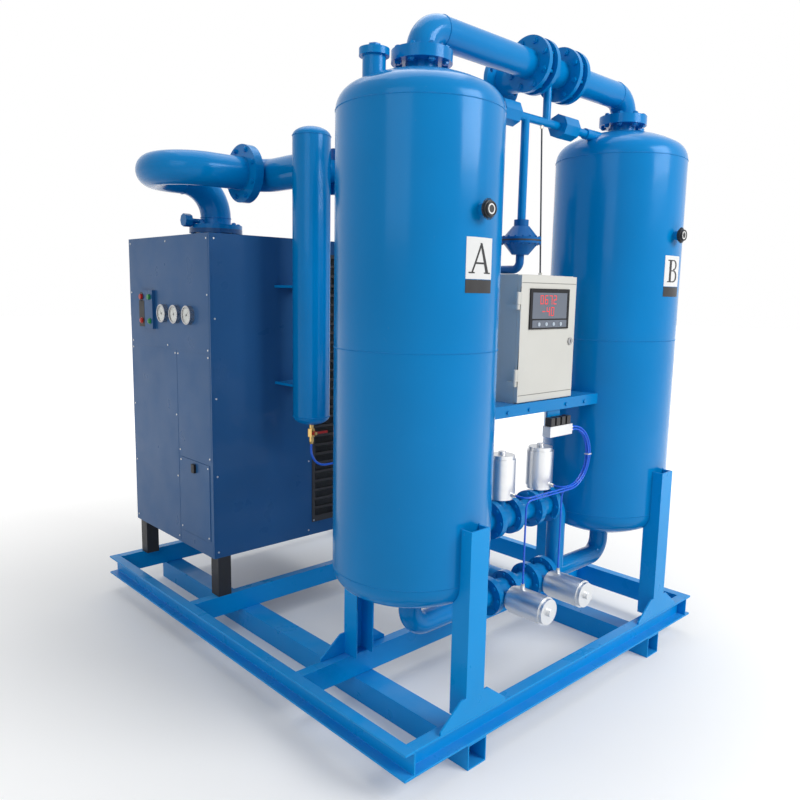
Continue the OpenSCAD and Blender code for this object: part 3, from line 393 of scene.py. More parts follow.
def placed(name, bm, finish, body="frame", smooth=True):
    bmesh.ops.remove_doubles(bm, verts=bm.verts, dist=0.00002)
    bmesh.ops.recalc_face_normals(bm, faces=bm.faces)
    for f in bm.faces:
        f.smooth = smooth
    for e in bm.edges:
        e.smooth = len(e.link_faces) == 2 and e.calc_face_angle(0) < 0.6
    data = bpy.data.meshes.new(name)
    bm.to_mesh(data)
    bm.free()
    data.materials.append(finish)
    piece = bpy.data.objects.new(name, data)
    scene.collection.objects.link(piece)
    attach(piece, body)
    return piece


def on_shell(x, angle, z, lift):
    r = shell_r + lift
    return Vector((x + r * math.sin(angle), tower_y - r * math.cos(angle), z))


def shell_patch(bm, x, half, low, high, lift, thick):
    """A thin closed plate bent round the shell, from -half to half as an angle."""
    n = 20
    a, b = ([[bm.verts.new(on_shell(x, -half + 2 * half * i / n, z, d)) for z in (low, high)]
             for i in range(n + 1)] for d in (lift, lift + thick))
    for i in range(n):
        bm.faces.new((a[i][0], a[i][1], a[i + 1][1], a[i + 1][0]))
        bm.faces.new((b[i][0], b[i + 1][0], b[i + 1][1], b[i][1]))
        for k in (0, 1):
            bm.faces.new((a[i][k], a[i + 1][k], b[i + 1][k], b[i][k]))
    for i in (0, n):
        bm.faces.new((a[i][0], b[i][0], b[i][1], a[i][1]))


card_white = plain("card_white", (0.75, 0.75, 0.74), rough=0.4)
ink_black = plain("ink_black", (0.015, 0.015, 0.017), rough=0.35)
strokes = {
    "A": [[(-0.43, 0), (-0.36, 0), (0.03, 0.90), (-0.01, 1.0)],
          [(0.28, 0), (0.45, 0), (0.06, 1.0), (-0.04, 1.0)],
          [(-0.27, 0.31), (0.20, 0.31), (0.18, 0.37), (-0.245, 0.37)],
          [(-0.53, 0), (-0.27, 0), (-0.27, 0.045), (-0.53, 0.045)],
          [(0.19, 0), (0.55, 0), (0.55, 0.045), (0.19, 0.045)]],
    "B": [[(-0.32, 0), (-0.15, 0), (-0.15, 1.0), (-0.32, 1.0)],
          [(-0.44, 0), (0, 0), (0, 0.05), (-0.44, 0.05)],
          [(-0.44, 0.95), (0, 0.95), (0, 1.0), (-0.44, 1.0)],
          [(-0.15, 0.49), (0, 0.49), (0, 0.54), (-0.15, 0.54)]]}
bow = [-math.pi / 2 + math.pi * i / 12 for i in range(13)]
for mid, wide, tall, wide_in, tall_in in ((0.77, 0.33, 0.23, 0.18, 0.18), (0.27, 0.40, 0.27, 0.22, 0.22)):
    for p, q in zip(bow, bow[1:]):
        strokes["B"].append([(wide * math.cos(p), mid + tall * math.sin(p)),
                             (wide * math.cos(q), mid + tall * math.sin(q)),
                             (wide_in * math.cos(q), mid + tall_in * math.sin(q)),
                             (wide_in * math.cos(p), mid + tall_in * math.sin(p))])
card_half, card_low, card_high = 0.215, 1.758, 1.895
strip_low, strip_high = 1.712, 1.756
card_sunk, card_thick = -0.0006, 0.0016
letter_tall, letter_lift, ink_thick = 0.1, 0.0013, 0.0004
for letter, x in (("A", -tower_x), ("B", tower_x)):
    bm = bmesh.new()
    shell_patch(bm, x, card_half, card_low, card_high, card_sunk, card_thick)
    placed("card_" + letter.lower(), bm, card_white, smooth=False)
    bm = bmesh.new()
    shell_patch(bm, x, card_half, strip_low, strip_high, card_sunk, card_thick)
    placed("strip_" + letter.lower(), bm, ink_black, smooth=False)
    bm = bmesh.new()
    for corners in strokes[letter]:
        bm.faces.new([bm.verts.new((letter_tall * u, letter_tall * (v - 0.5), 0)) for u, v in corners])
    bmesh.ops.triangulate(bm, faces=bm.faces)
    bmesh.ops.subdivide_edges(bm, edges=bm.edges, cuts=3, use_grid_fill=True)
    for v in bm.verts:
        v.co = on_shell(x, v.co.x / shell_r, (card_low + card_high) / 2 + v.co.y, letter_lift)
    bmesh.ops.recalc_face_normals(bm, faces=bm.faces)
    bmesh.ops.solidify(bm, geom=bm.faces[:], thickness=ink_thick)
    placed("letter_" + letter.lower(), bm, ink_black, smooth=False)

# The moisture sights: a screwed collar with finger ribs on each tower, round a small window.
# The collar is moulded black; a white ring on the indicator disc gives the colour to compare with.
tick_tree, inlet, outlet = tree("ticks", [
    ("Count", "Int", 12), ("Size", "Vector", (0.01, 0.01, 0.01)), ("Finish", "Material", None)])
run = add(tick_tree, "GeometryNodeMeshToCurve")
dots = add(tick_tree, "GeometryNodeCurveToPoints")
brick = add(tick_tree, "GeometryNodeMeshCube")
lay = add(tick_tree, "GeometryNodeInstanceOnPoints")
solid = add(tick_tree, "GeometryNodeRealizeInstances")
paint = add(tick_tree, "GeometryNodeSetMaterial")
chain(tick_tree, (inlet, "Geometry"), (run, "Mesh"), (run, "Curve"), (dots, "Curve"),
      (inlet, "Count"), (dots, "Count"), (dots, "Points"), (lay, "Points"),
      (dots, "Rotation"), (lay, "Rotation"),
      (inlet, "Size"), (brick, "Size"), (brick, "Mesh"), (lay, "Instance"),
      (lay, "Instances"), (solid, "Geometry"), (solid, "Geometry"), (paint, "Geometry"),
      (inlet, "Finish"), (paint, "Material"), (paint, "Geometry"), (outlet, "Geometry"))


def ticks(name, arc, count, size, finish, slot):
    grown(name, arc, [(i, i + 1) for i in range(len(arc) - 1)], tick_tree, "frame", slot,
          count=count, size=size, finish=finish)


def turned(bm, profile, place, axis=(0, 0, 1), n=48):
    """A lathe: profile is (radius, height) from the foot to the tip."""
    spin = Vector(axis).to_track_quat("Z", "X").to_matrix()
    angles = [math.tau * i / n for i in range(n)]
    rings = []
    for r, h in profile:
        ring = [(r * math.cos(a), r * math.sin(a), h) for a in angles] if r else [(0, 0, h)]
        rings.append([bm.verts.new(Vector(place) + spin @ Vector(p)) for p in ring])
    for a, b in zip(rings, rings[1:]):
        for i in range(n):
            j = (i + 1) % n
            if len(a) == 1 and len(b) > 1:
                bm.faces.new((a[0], b[i], b[j]))
            elif len(b) == 1 and len(a) > 1:
                bm.faces.new((a[i], a[j], b[0]))
            elif len(a) > 1:
                bm.faces.new((a[i], a[j], b[j], b[i]))


front_way = (0, -1, 0)
collar_black = plain("collar_black", (0.02, 0.02, 0.022), rough=0.4)
ring_white = plain("ring_white", (0.78, 0.78, 0.76), rough=0.4)
collar = [(0, 0), (0.0272, 0), (0.028, 0.001), (0.028, 0.015), (0.0272, 0.016), (0.024, 0.0165),
          (0.024, 0.0230), (0.0232, 0.0238), (0.0205, 0.0238), (0.0198, 0.0212), (0, 0.0212)]
ring = [(0.0125, 0.0211), (0.0125, 0.0218), (0.0172, 0.0218), (0.0172, 0.0211), (0.0125, 0.0211)]
rib_r, rib_up, rib_count, rib_size = 0.0286, 0.008, 28, (0.0022, 0.013, 0.0026)
for end in "ab":
    sight = middle("sight_port_" + end)
    foot = Vector((sight.x, span("sight_port_" + end)[1].y, sight.z))
    bm = bmesh.new()
    turned(bm, collar, foot, front_way)
    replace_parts(placed("sight_collar_" + end, bm, collar_black), "sight_port_" + end)
    bm = bmesh.new()
    turned(bm, ring, foot, front_way)
    placed("sight_ring_" + end, bm, ring_white)
    rib_ring = hoop(foot + rib_up * Vector(front_way), front_way, rib_r, 72)
    ticks("sight_ribs_" + end, rib_ring, rib_count, rib_size, collar_black, "black_plastic")

# The top line: flanged elbows meet at the outlet tee over a wafer check valve on each side.
# Pipe, elbows, rings, wafers and studs are all sprayed over together once the line is bolted up.
dress(tower_enamel, "top_elbow_a", "top_elbow_b", "outlet_tee", "check_valve_a", "check_valve_b",
      "flange_bolts")
across, rearward = (1, 0, 0), (0, 1, 0)
pipe_r, ring_weld, elbow_end = 0.057, 0.0205, 0.086
elbow_a, elbow_b, tee = span("top_elbow_a"), span("top_elbow_b"), span("outlet_tee")
tee_x, top_z = middle("outlet_tee").xz
top_runs = [hoop((x, tower_y, elbow_a[0].z + ring_weld), up, pipe_r, 48) for x in (-tower_x, tower_x)]
top_runs += [hoop((x, tower_y, top_z), across, pipe_r, 48)
             for x in (elbow_end - tower_x, tower_x - elbow_end,
                       elbow_a[1].x - ring_weld, elbow_b[0].x + ring_weld,
                       tee[0].x + ring_weld, tee[1].x - ring_weld)]
top_runs.append(hoop((tee_x, tee[1].y - ring_weld, top_z), rearward, pipe_r, 48))
beads("top_line_welds", top_runs, tower_enamel, bead=0.003, pitch=0.005)

# The purge line: a small pipe between the towers with a check valve body at each side of its riser.
# A round diaphragm valve hangs from it over the control box, its two halves clamped on a black membrane.
stud_tree, inlet, outlet = tree("hex_heads", [
    ("Radius", "Float", 0.01), ("Height", "Float", 0.006), ("Sides", "Int", 6),
    ("Turn", "Vector", (0, 0, 0)), ("Finish", "Material", None)])
head = add(stud_tree, "GeometryNodeMeshCylinder")
half = add(stud_tree, "ShaderNodeMath", operation="MULTIPLY")
half.inputs[1].default_value = 0.5
lift = add(stud_tree, "ShaderNodeCombineXYZ")
stand = add(stud_tree, "GeometryNodeTransform")
lay = add(stud_tree, "GeometryNodeInstanceOnPoints")
solid = add(stud_tree, "GeometryNodeRealizeInstances")
paint = add(stud_tree, "GeometryNodeSetMaterial")
chain(stud_tree, (inlet, "Sides"), (head, "Vertices"), (inlet, "Radius"), (head, "Radius"),
      (inlet, "Height"), (head, "Depth"), (inlet, "Height"), (half, 0), (half, 0), (lift, "Z"),
      (lift, "Vector"), (stand, "Translation"), (head, "Mesh"), (stand, "Geometry"),
      (stand, "Geometry"), (lay, "Instance"), (inlet, "Geometry"), (lay, "Points"),
      (inlet, "Turn"), (lay, "Rotation"),
      (lay, "Instances"), (solid, "Geometry"), (solid, "Geometry"), (paint, "Geometry"),
      (inlet, "Finish"), (paint, "Material"), (paint, "Geometry"), (outlet, "Geometry"))


def bolts(name, spots, axis, finish, radius, height, sides=6, body="frame", slot="blue_paint"):
    grown(name, spots, [], stud_tree, body, slot, radius=radius, height=height, sides=sides,
          turn=tuple(Vector(axis).to_track_quat("Z", "X").to_euler()), finish=finish)


valve_enamel = enamel("valve_enamel", (0.006, 0.12, 0.36), rough=(0.24, 0.38), dust=0.05, scuff=0.1)
dress(tower_enamel, "purge_line")
dress(valve_enamel, "purge_valve")
membrane = plain("membrane", (0.02, 0.02, 0.02), rough=0.55)
clamp = Vector((middle("purge_valve").x, tower_y, 1.93))
clamp_half, screw_circle = 0.012, 0.0782
rim_in, rim_out, rim_half = 0.080, 0.0848, 0.003
bm = bmesh.new()
turned(bm, [(rim_in, -rim_half), (rim_out, -rim_half), (rim_out, rim_half), (rim_in, rim_half),
            (rim_in, -rim_half)], clamp, n=96)
placed("membrane_edge", bm, membrane)
for side, way in (("low", -1), ("top", 1)):
    bolts("rim_screws_" + side, hoop(clamp + Vector((0, 0, way * clamp_half)), up, screw_circle, 16)[:-1],
          (0, 0, way), valve_enamel, radius=0.0048, height=0.005, slot="cabinet_paint")

# The lower valves: four flanged piston valves switch the towers between inlet and exhaust.
# Bodies and pipes are painted; each has an extruded aluminium cylinder with plain end caps.


def metal(name, colour, rough, stretch=(1, 1, 1), wave=0.08, bump=0.05):
    m, nt, skin, at = blank(name)
    drawn = add(nt, "ShaderNodeMapping")
    drawn.inputs["Scale"].default_value = stretch
    nt.links.new(at, drawn.inputs["Vector"])
    lines = noise(nt, drawn.outputs["Vector"], 130, 4, 0.6)
    tone = mixed(nt, noise(nt, at, 12, 5), tint(colour, 1 - wave), tint(colour, 1 + wave))
    nt.links.new(tone, skin.inputs["Base Color"])
    nt.links.new(spread(nt, lines, 0.3, 0.7, rough * 0.8, rough * 1.25), skin.inputs["Roughness"])
    skin.inputs["Metallic"].default_value = 1.0
    bumped(nt, skin, lines, bump, 0.0008)
    return m


inlet_z, exhaust_z = middle("inlet_tee").z, middle("exhaust_tee").z
body_half = 0.0845
cast_aluminium = metal("cast_aluminium", (0.72, 0.73, 0.74), rough=0.38, wave=0.06, bump=0.1)
dress(tower_enamel, "bottom_pipe_a", "bottom_pipe_b", "inlet_tee", "exhaust_tee")
dress(tower_enamel, "inlet_valve_a", "inlet_valve_b", past=inlet_z + body_half, far=cast_aluminium)
dress(tower_enamel, "exhaust_valve_a", "exhaust_valve_b", side=front_way, past=body_half - tower_y,
      far=cast_aluminium)
sintered = metal("sintered_bronze", (0.50, 0.49, 0.46), rough=0.5, wave=0.12, bump=0.3)
dress(sintered, "muffler")
valve_in, valve_out = (corner.x for corner in span("inlet_valve_b"))
valve_ring, pipe_ring, bolt_circle = 0.014, 0.016, 0.068
ring_faces = (valve_in + valve_ring, valve_out + pipe_ring, pipe_ring - valve_in, valve_ring - valve_out)
for side, way in (("left", -1), ("right", 1)):
    spots = [p for z in (inlet_z, exhaust_z) for x in ring_faces
             for p in hoop((way * x, tower_y, z), across, bolt_circle, 8)[:-1]]
    bolts("valve_bolts_" + side, spots, (way, 0, 0), tower_enamel, radius=0.0085, height=0.007)
pipe_weld, valve_pipe_r = 0.0165, 0.0445
weld_xs = (-valve_out - pipe_weld, pipe_weld - valve_in, valve_in - pipe_weld, valve_out + pipe_weld)
valve_runs = [hoop((x, tower_y, z), across, valve_pipe_r, 40)
              for z in (inlet_z, exhaust_z) for x in weld_xs]
beads("valve_line_welds", valve_runs, tower_enamel, bead=0.0028, pitch=0.0046)

# The control box: a cream sheet-steel case with a hinged door on a folded shelf between the towers.
# The door carries a black framed display and a quarter-turn lock; pilot valves hang below the shelf.


def slab(bm, lo, hi):
    made = bmesh.ops.create_cube(bm, size=1.0)["verts"]
    for v in made:
        v.co = Vector([lo[i] + (v.co[i] + 0.5) * (hi[i] - lo[i]) for i in range(3)])
    return made


def round_slab(bm, lo, hi, edge):
    made = slab(bm, lo, hi)
    sides = list({e for v in made for e in v.link_edges})
    bmesh.ops.bevel(bm, geom=made + sides, offset=edge, segments=2, affect="EDGES", profile=0.6)


block_tree, inlet, outlet = tree("blocks", [
    ("Size", "Vector", (0.01, 0.01, 0.01)), ("Finish", "Material", None)])
brick = add(block_tree, "GeometryNodeMeshCube")
lay = add(block_tree, "GeometryNodeInstanceOnPoints")
solid = add(block_tree, "GeometryNodeRealizeInstances")
paint = add(block_tree, "GeometryNodeSetMaterial")
chain(block_tree, (inlet, "Size"), (brick, "Size"), (brick, "Mesh"), (lay, "Instance"),
      (inlet, "Geometry"), (lay, "Points"), (lay, "Instances"), (solid, "Geometry"),
      (solid, "Geometry"), (paint, "Geometry"), (inlet, "Finish"), (paint, "Material"),
      (paint, "Geometry"), (outlet, "Geometry"))


def blocks(name, spots, size, finish, slot):
    return grown(name, spots, [], block_tree, "frame", slot, size=size, finish=finish)


box_cream = enamel("box_cream", (0.635, 0.622, 0.572), rough=(0.32, 0.46), dust=0.06, scuff=0.05)
moulded_black = plain("moulded_black", (0.016, 0.016, 0.018), rough=0.35, shine=0.2)
dress(tower_enamel, "box_shelf", edge=0.001)
dress(box_cream, "control_box", "control_box_door", edge=0.0012)
dress(moulded_black, "display_panel", edge=0.0012)
plated_steel = metal("plated_steel", (0.42, 0.42, 0.43), rough=0.28, wave=0.05, bump=0.0)
dress(plated_steel, "door_lock", edge=0.0006)
case_lo, case_hi = span("control_box")
proud, film, bite = 0.0008, 0.0006, 0.0002
key = Vector((middle("door_lock").x, span("door_lock")[0].y, case_lo.z + 0.245))
key_half, key_tall = 0.0015, 0.007
# The keyhole is a thin black sheet on the lock face: its black is painted shade for the recess.
bm = bmesh.new()
slab(bm, key + Vector((-key_half, -film, -key_tall)), key + Vector((key_half, bite, key_tall)))
placed("key_slot", bm, moulded_black, body="lock", smooth=False)

panel_lo, panel_hi = span("display_panel")
face, border = panel_lo.y, 0.0165
left, right = panel_lo.x + border, panel_hi.x - border
screen_low, screen_high = panel_lo.z + 0.0425, panel_hi.z - border
screen_front, screen_back = face + 0.0011, face + 0.0022
keys_low, keys_high = panel_lo.z + 0.0065, panel_lo.z + 0.0365
screen_grey = plain("screen_grey", (0.13, 0.15, 0.19), rough=0.2, bump=0.0)
bm = bmesh.new()
slab(bm, (left, screen_front, screen_low), (right, screen_back, screen_high))
slab(bm, (left, face - film, keys_low), (right, face + bite, keys_high))
placed("screen", bm, screen_grey, body="door", smooth=False)
digit_red, nt, skin, at = blank("digit_red")
skin.inputs["Base Color"].default_value = (0.6, 0.02, 0.015, 1)
skin.inputs["Emission Color"].default_value = (1.0, 0.06, 0.07, 1)
nt.links.new(spread(nt, noise(nt, at, 40), 0.3, 0.7, 0.4, 0.6), skin.inputs["Emission Strength"])
bars = {"a": ((-1, 1), (1, 1)), "b": ((1, 0), (1, 1)), "c": ((1, -1), (1, 0)), "d": ((-1, -1), (1, -1)),
        "e": ((-1, -1), (-1, 0)), "f": ((-1, 0), (-1, 1)), "g": ((-1, 0), (1, 0))}
lit_bars = {"0": "abcdef", "2": "abdeg", "4": "bcfg", "6": "acdefg", "7": "abc", "-": "g"}
digit_step, digit_half_w, digit_half_h, bar_half = 0.030, 0.0085, 0.0165, 0.0016
digit_front, digit_back = face + 0.0006, face + 0.0012
bm = bmesh.new()
for word, x0, z0 in (("0672", -0.058, panel_lo.z + 0.120), ("-40", -0.043, panel_lo.z + 0.072)):
    for i, sign in enumerate(word):
        x = x0 + digit_step * i
        for bar in lit_bars[sign]:
            (u0, v0), (u1, v1) = bars[bar]
            slab(bm, (x + digit_half_w * u0 - bar_half, digit_front, z0 + digit_half_h * v0 - bar_half),
                 (x + digit_half_w * u1 + bar_half, digit_back, z0 + digit_half_h * v1 + bar_half))
placed("digits", bm, digit_red, body="door", smooth=False)
key_grey = plain("key_grey", (0.44, 0.50, 0.56), rough=0.45)
key_row = [(x, face - 0.0005, panel_lo.z + 0.020) for x in (-0.075, -0.025, 0.025, 0.075)]
bolts("display_keys", key_row, front_way, key_grey, radius=0.008, height=0.0025, sides=24, body="door",
      slot="black_plastic")
seam_grey = plain("seam_grey", (0.16, 0.16, 0.15), rough=0.6)
seam_x, seam_half = case_hi.x - 0.004, 0.0011
bm = bmesh.new()
for z in (case_lo.z + 0.032, case_hi.z - 0.033):
    slab(bm, (-seam_x, case_lo.y - proud, z - seam_half), (seam_x, case_lo.y + bite, z + seam_half))
placed("door_lines", bm, seam_grey, body="door", smooth=False)

zinc_sheet = metal("zinc_sheet", (0.60, 0.61, 0.61), rough=0.42, stretch=(1, 1, 0.1))
plate_front, plate_back, plate_x = case_hi.y - 0.009, case_hi.y - 0.007, 0.160
plate_low, plate_high = case_lo.z + 0.040, case_hi.z - 0.040
rail_x, rail_z, rail_deep, rail_half = 0.150, case_lo.z + 0.137, 0.008, 0.009
corner_in, post = 0.008, 0.005
bm = bmesh.new()
slab(bm, (-plate_x, plate_front, plate_low), (plate_x, plate_back, plate_high))
slab(bm, (-rail_x, plate_front - rail_deep, rail_z - rail_half), (rail_x, plate_front, rail_z + rail_half))
for x in (corner_in - plate_x, plate_x - corner_in):
    for z in (plate_low + corner_in, plate_high - corner_in):
        slab(bm, (x - post, plate_back - 0.0005, z - post), (x + post, case_hi.y - 0.0014, z + post))
placed("mounting_plate", bm, zinc_sheet, smooth=False)
unit_grey = plain("unit_grey", (0.20, 0.21, 0.22), rough=0.5)
bm = bmesh.new()
for x0, x1, deep, low, high in ((-0.140, 0.020, 0.066, 0.235, 0.405), (0.050, 0.130, 0.076, 0.250, 0.390)):
    round_slab(bm, (x0, plate_front - deep, plate_low + low), (x1, plate_front, plate_low + high), 0.003)
placed("controller", bm, unit_grey, smooth=False)
terminal_grey = plain("terminal_grey", (0.42, 0.43, 0.42), rough=0.5)
terminal_x, terminal_pitch, terminal_count, terminal_size = -0.1395, 0.0082, 35, (0.0074, 0.040, 0.046)
terminal_y = plate_front - rail_deep - terminal_size[1] / 2
blocks("terminals", [(terminal_x + terminal_pitch * i, terminal_y, rail_z) for i in range(terminal_count)],
       terminal_size, terminal_grey, "black_plastic")

bank_lo, bank_hi = span("solenoid_bank")
shelf_lo, shelf_hi = span("box_shelf")
coil_black = plain("coil_black", (0.02, 0.02, 0.022), rough=0.42)
dress(cast_aluminium, "solenoid_bank", edge=0.001, past=bank_lo.z + 0.0455, far=coil_black)
bolt_row = [(x, shelf_lo.y, shelf_hi.z - 0.028) for x in (-0.26, -0.12, 0.14, 0.28)]
bolts("shelf_bolts", bolt_row, front_way, tower_enamel, radius=0.008, height=0.006)
collet_white = plain("collet_white", (0.72, 0.73, 0.72), rough=0.4)
port_apart = 0.012
bank_y = (bank_lo.y + bank_hi.y) / 2
left_port_y, right_port_y = bank_y - port_apart / 2, bank_y + port_apart / 2
inlet_port_z = bank_lo.z + 0.014
exhaust_port_z = inlet_port_z + port_apart
ports = [(bank_hi.x, y, z) for y in (left_port_y, right_port_y) for z in (inlet_port_z, exhaust_port_z)]
bolts("collets", ports, across, collet_white, radius=0.0052, height=0.005, sides=24, slot="valve_metal")

# The pilot tubes: blue plastic air tubes pushed into the block and into the four cylinders.
# They are cut to length, so they run straight with one easy bend at each turn.


def quarter(corner, a, b, bend, n):
    c = Vector(corner)
    u, w = (Vector(a) - c).normalized(), (Vector(b) - c).normalized()
    hub = c + (u + w) * bend
    angles = [math.pi / 2 * i / n for i in range(n + 1)]
    return [hub - w * bend * math.cos(t) - u * bend * math.sin(t) for t in angles]


def air_tube(name, points, bends, radius, finish, node):
    path = [Vector(points[0])]
    for a, c, b, bend in zip(points, points[1:], points[2:], bends):
        path += quarter(c, a, b, bend, 8 if bend < 0.08 else 20)
    path.append(Vector(points[-1]))
    full = [path[0]]
    for a, b in zip(path, path[1:]):
        if (b - a).length < 0.0005:
            continue
        cuts = max(1, round((b - a).length / 0.06))
        full += [a.lerp(b, (i + 1) / cuts) for i in range(cuts)]
    data = bpy.data.curves.new(name, "CURVE")
    data.dimensions, data.bevel_depth, data.bevel_resolution, data.use_fill_caps = "3D", radius, 4, True
    line = data.splines.new("POLY")
    line.points.add(len(full) - 1)
    for p, v in zip(line.points, full):
        p.co = (*v, 1)
    line.use_smooth = True
    data.materials.append(finish)
    tube = bpy.data.objects.new(name, data)
    scene.collection.objects.link(tube)
    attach(tube, "frame")
    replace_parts(tube, node)
    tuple(full[0])
    sum((b - a).length for a, b in zip(full, full[1:]))


tube_blue = plain("tube_blue", (0.0, 0.12, 0.72), rough=0.22, wave=0.06)
tube_dark = plain("tube_dark", (0.02, 0.025, 0.04), rough=0.3, wave=0.06)
tube_r, sense_r = 0.004, 0.0035
valve_x, cylinder_r = (valve_in + valve_out) / 2, 0.072
cylinder_front, cylinder_top = tower_y - cylinder_r, exhaust_z + cylinder_r
loop_x, loop_low, end_bend = 0.3095, 0.870, 0.034
inlet_bend = (inlet_port_z - loop_low) / 2
exhaust_bend = inlet_bend + port_apart
outer_x, outer_low = loop_x + port_apart, loop_low - port_apart
for end, x, y in (("left", -valve_x, left_port_y), ("right", valve_x, right_port_y)):
    inner = [(bank_hi.x, y, inlet_port_z), (loop_x, y, inlet_port_z), (loop_x, y, loop_low),
             (x, y, loop_low), (x, cylinder_front, loop_low)]
    air_tube("inlet_tube_" + end, inner, (inlet_bend, inlet_bend, end_bend), tube_r, tube_blue,
             "control_tubes")
    outer = [(bank_hi.x, y, exhaust_port_z), (outer_x, y, exhaust_port_z), (outer_x, y, outer_low),
             (x, y, outer_low), (x, y, cylinder_top)]
    air_tube("exhaust_tube_" + end, outer, (exhaust_bend, exhaust_bend, end_bend), tube_r, tube_blue,
             "control_tubes")
sense_top, sense_low = Vector((0.040, tower_y, 2.4026)), Vector((0.075, tower_y, case_hi.z + 0.0004))
air_tube("sense_tube", [sense_top, sense_low], (), sense_r, tube_dark, "control_tubes")
tie_x, tie_y, tie_half = 0.0065, 0.0115, 0.0025
tie_z = (inlet_port_z + loop_low) / 2
bm = bmesh.new()
round_slab(bm, (loop_x - tie_x, bank_y - tie_y, tie_z - tie_half),
           (outer_x + tie_x, bank_y + tie_y, tie_z + tie_half), 0.001)
placed("cable_tie", bm, collet_white)
port_brass = metal("port_brass", (0.66, 0.62, 0.54), rough=0.34)


def nuts(name, spots, axis, radius, height):
    bolts(name, spots, axis, port_brass, radius, height, slot="valve_metal")


nuts("sense_nut_low", [(sense_low.x, tower_y, case_hi.z)], up, radius=0.008, height=0.013)
nuts("sense_nut_top", [(sense_top.x, tower_y, sense_top.z + 0.0019)], (0, 0, -1), radius=0.008, height=0.013)
front_ports = [(x, cylinder_front, loop_low) for x in (-valve_x, valve_x)]
nuts("port_nuts_front", front_ports, front_way, radius=0.0075, height=0.008)
top_ports = [(-valve_x, left_port_y, cylinder_top), (valve_x, right_port_y, cylinder_top)]
nuts("port_nuts_top", top_ports, up, radius=0.0075, height=0.008)

# The cooling cabinet: a tall sheet-steel box on dark feet, sprayed in a duller blue than the towers.
# It has a slatted guard over the coil, three round gauges, a switch plate and a small lift-off panel.
cabinet_enamel = enamel("cabinet_enamel", (0.022, 0.105, 0.27), rough=(0.26, 0.42), dust=0.08, scuff=0.12)
black_powder = plain("black_powder", (0.018, 0.018, 0.02), rough=0.5)
red_moulding = plain("red_moulding", (0.50, 0.02, 0.015), rough=0.3)
green_moulding = plain("green_moulding", (0.015, 0.26, 0.06), rough=0.3)
inlet_stub, roof_stub = 0.110, 0.060
cab_lo, cab_hi = span("cabinet")
cab_hi = cab_hi - Vector((inlet_stub, 0, roof_stub))
dress(cabinet_enamel, "cabinet")
dress(cabinet_enamel, "switch_plate", edge=0.001)
left_way, handle_from = (-1, 0, 0), 0.0035
dress(cabinet_enamel, "service_panel", edge=0.0008, side=left_way, past=handle_from - cab_lo.x,
      far=moulded_black)
dress(black_powder, "cabinet_feet", "grille", edge=0.0008)
lo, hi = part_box("condenser")
coil = (lo + hi) / 2
fin_metal = metal("fin_metal", (0.20, 0.21, 0.22), rough=0.45)
fin_count, fin_thick, fin_end, fin_in = 53, 0.0008, 0.001, 0.002
fin_xs = [lo.x + fin_end + (hi.x - lo.x - 2 * fin_end) * i / (fin_count - 1) for i in range(fin_count)]
fins = blocks("condenser_fins", [(x, coil.y, coil.z) for x in fin_xs],
              (fin_thick, hi.y - lo.y - 2 * fin_in, hi.z - lo.z - 2 * fin_in), fin_metal, "black_paint")
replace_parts(fins, "condenser")
copper_tube = metal("copper_tube", (0.55, 0.28, 0.16), rough=0.35)
row_count, row_pitch, row_deep, row_thick = 14, 0.1, 0.03, 0.009
row_spots = [(coil.x, lo.y + row_deep * j, lo.z + row_pitch * (i + 0.5))
             for i in range(row_count) for j in (1, 2)]
row_size = (hi.x - lo.x - fin_end, row_thick, row_thick)
rows = blocks("condenser_rows", row_spots, row_size, copper_tube, "black_paint")
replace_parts(rows, "condenser")
dress(plated_steel, "gauges")
dress(red_moulding, "stop_button")
dress(green_moulding, "start_button")

seam, rear_gap = 0.005, 0.003
near_y, far_y = cab_lo.y + 0.012, cab_hi.y - 0.012
near_x, far_x = cab_lo.x + 0.010, cab_hi.x - 0.010
foot_z, roof_z = cab_lo.z + 0.012, cab_hi.z - 0.010
belt_z, post_y = 1.400, 0.655
hatch_lo, hatch_hi = span("service_panel")
hatch_low, hatch_high = hatch_lo.z - 0.010, hatch_hi.z + 0.020
guard_lo, guard_hi = span("grille")
guard_x = guard_lo.x - 0.008
rear_x, vent_z = (cab_lo.x + cab_hi.x) / 2, 1.150
bm = bmesh.new()
for y0, y1, z0, z1 in ((near_y, far_y, belt_z + seam, roof_z), (post_y + seam, far_y, foot_z, belt_z),
                       (near_y, post_y, hatch_high, belt_z), (near_y, post_y, foot_z, hatch_low)):
    slab(bm, (cab_lo.x - proud, y0, z0), (cab_lo.x + bite, y1, z1))
slab(bm, (near_x, cab_lo.y - proud, foot_z), (guard_x, cab_lo.y + bite, roof_z))
for x0, x1 in ((near_x, rear_x - rear_gap), (rear_x + rear_gap, far_x)):
    slab(bm, (x0, cab_hi.y - bite, foot_z), (x1, cab_hi.y + proud, roof_z))
slab(bm, (cab_hi.x - bite, near_y, vent_z), (cab_hi.x + proud, far_y, roof_z))
placed("side_sheets", bm, cabinet_enamel, smooth=False)

zinc_plate = metal("zinc_plate", (0.66, 0.67, 0.66), rough=0.34)


def screws(name, spots, axis):
    bolts(name, spots, axis, zinc_plate, radius=0.0045, height=0.002, sides=16, slot="bare_steel")


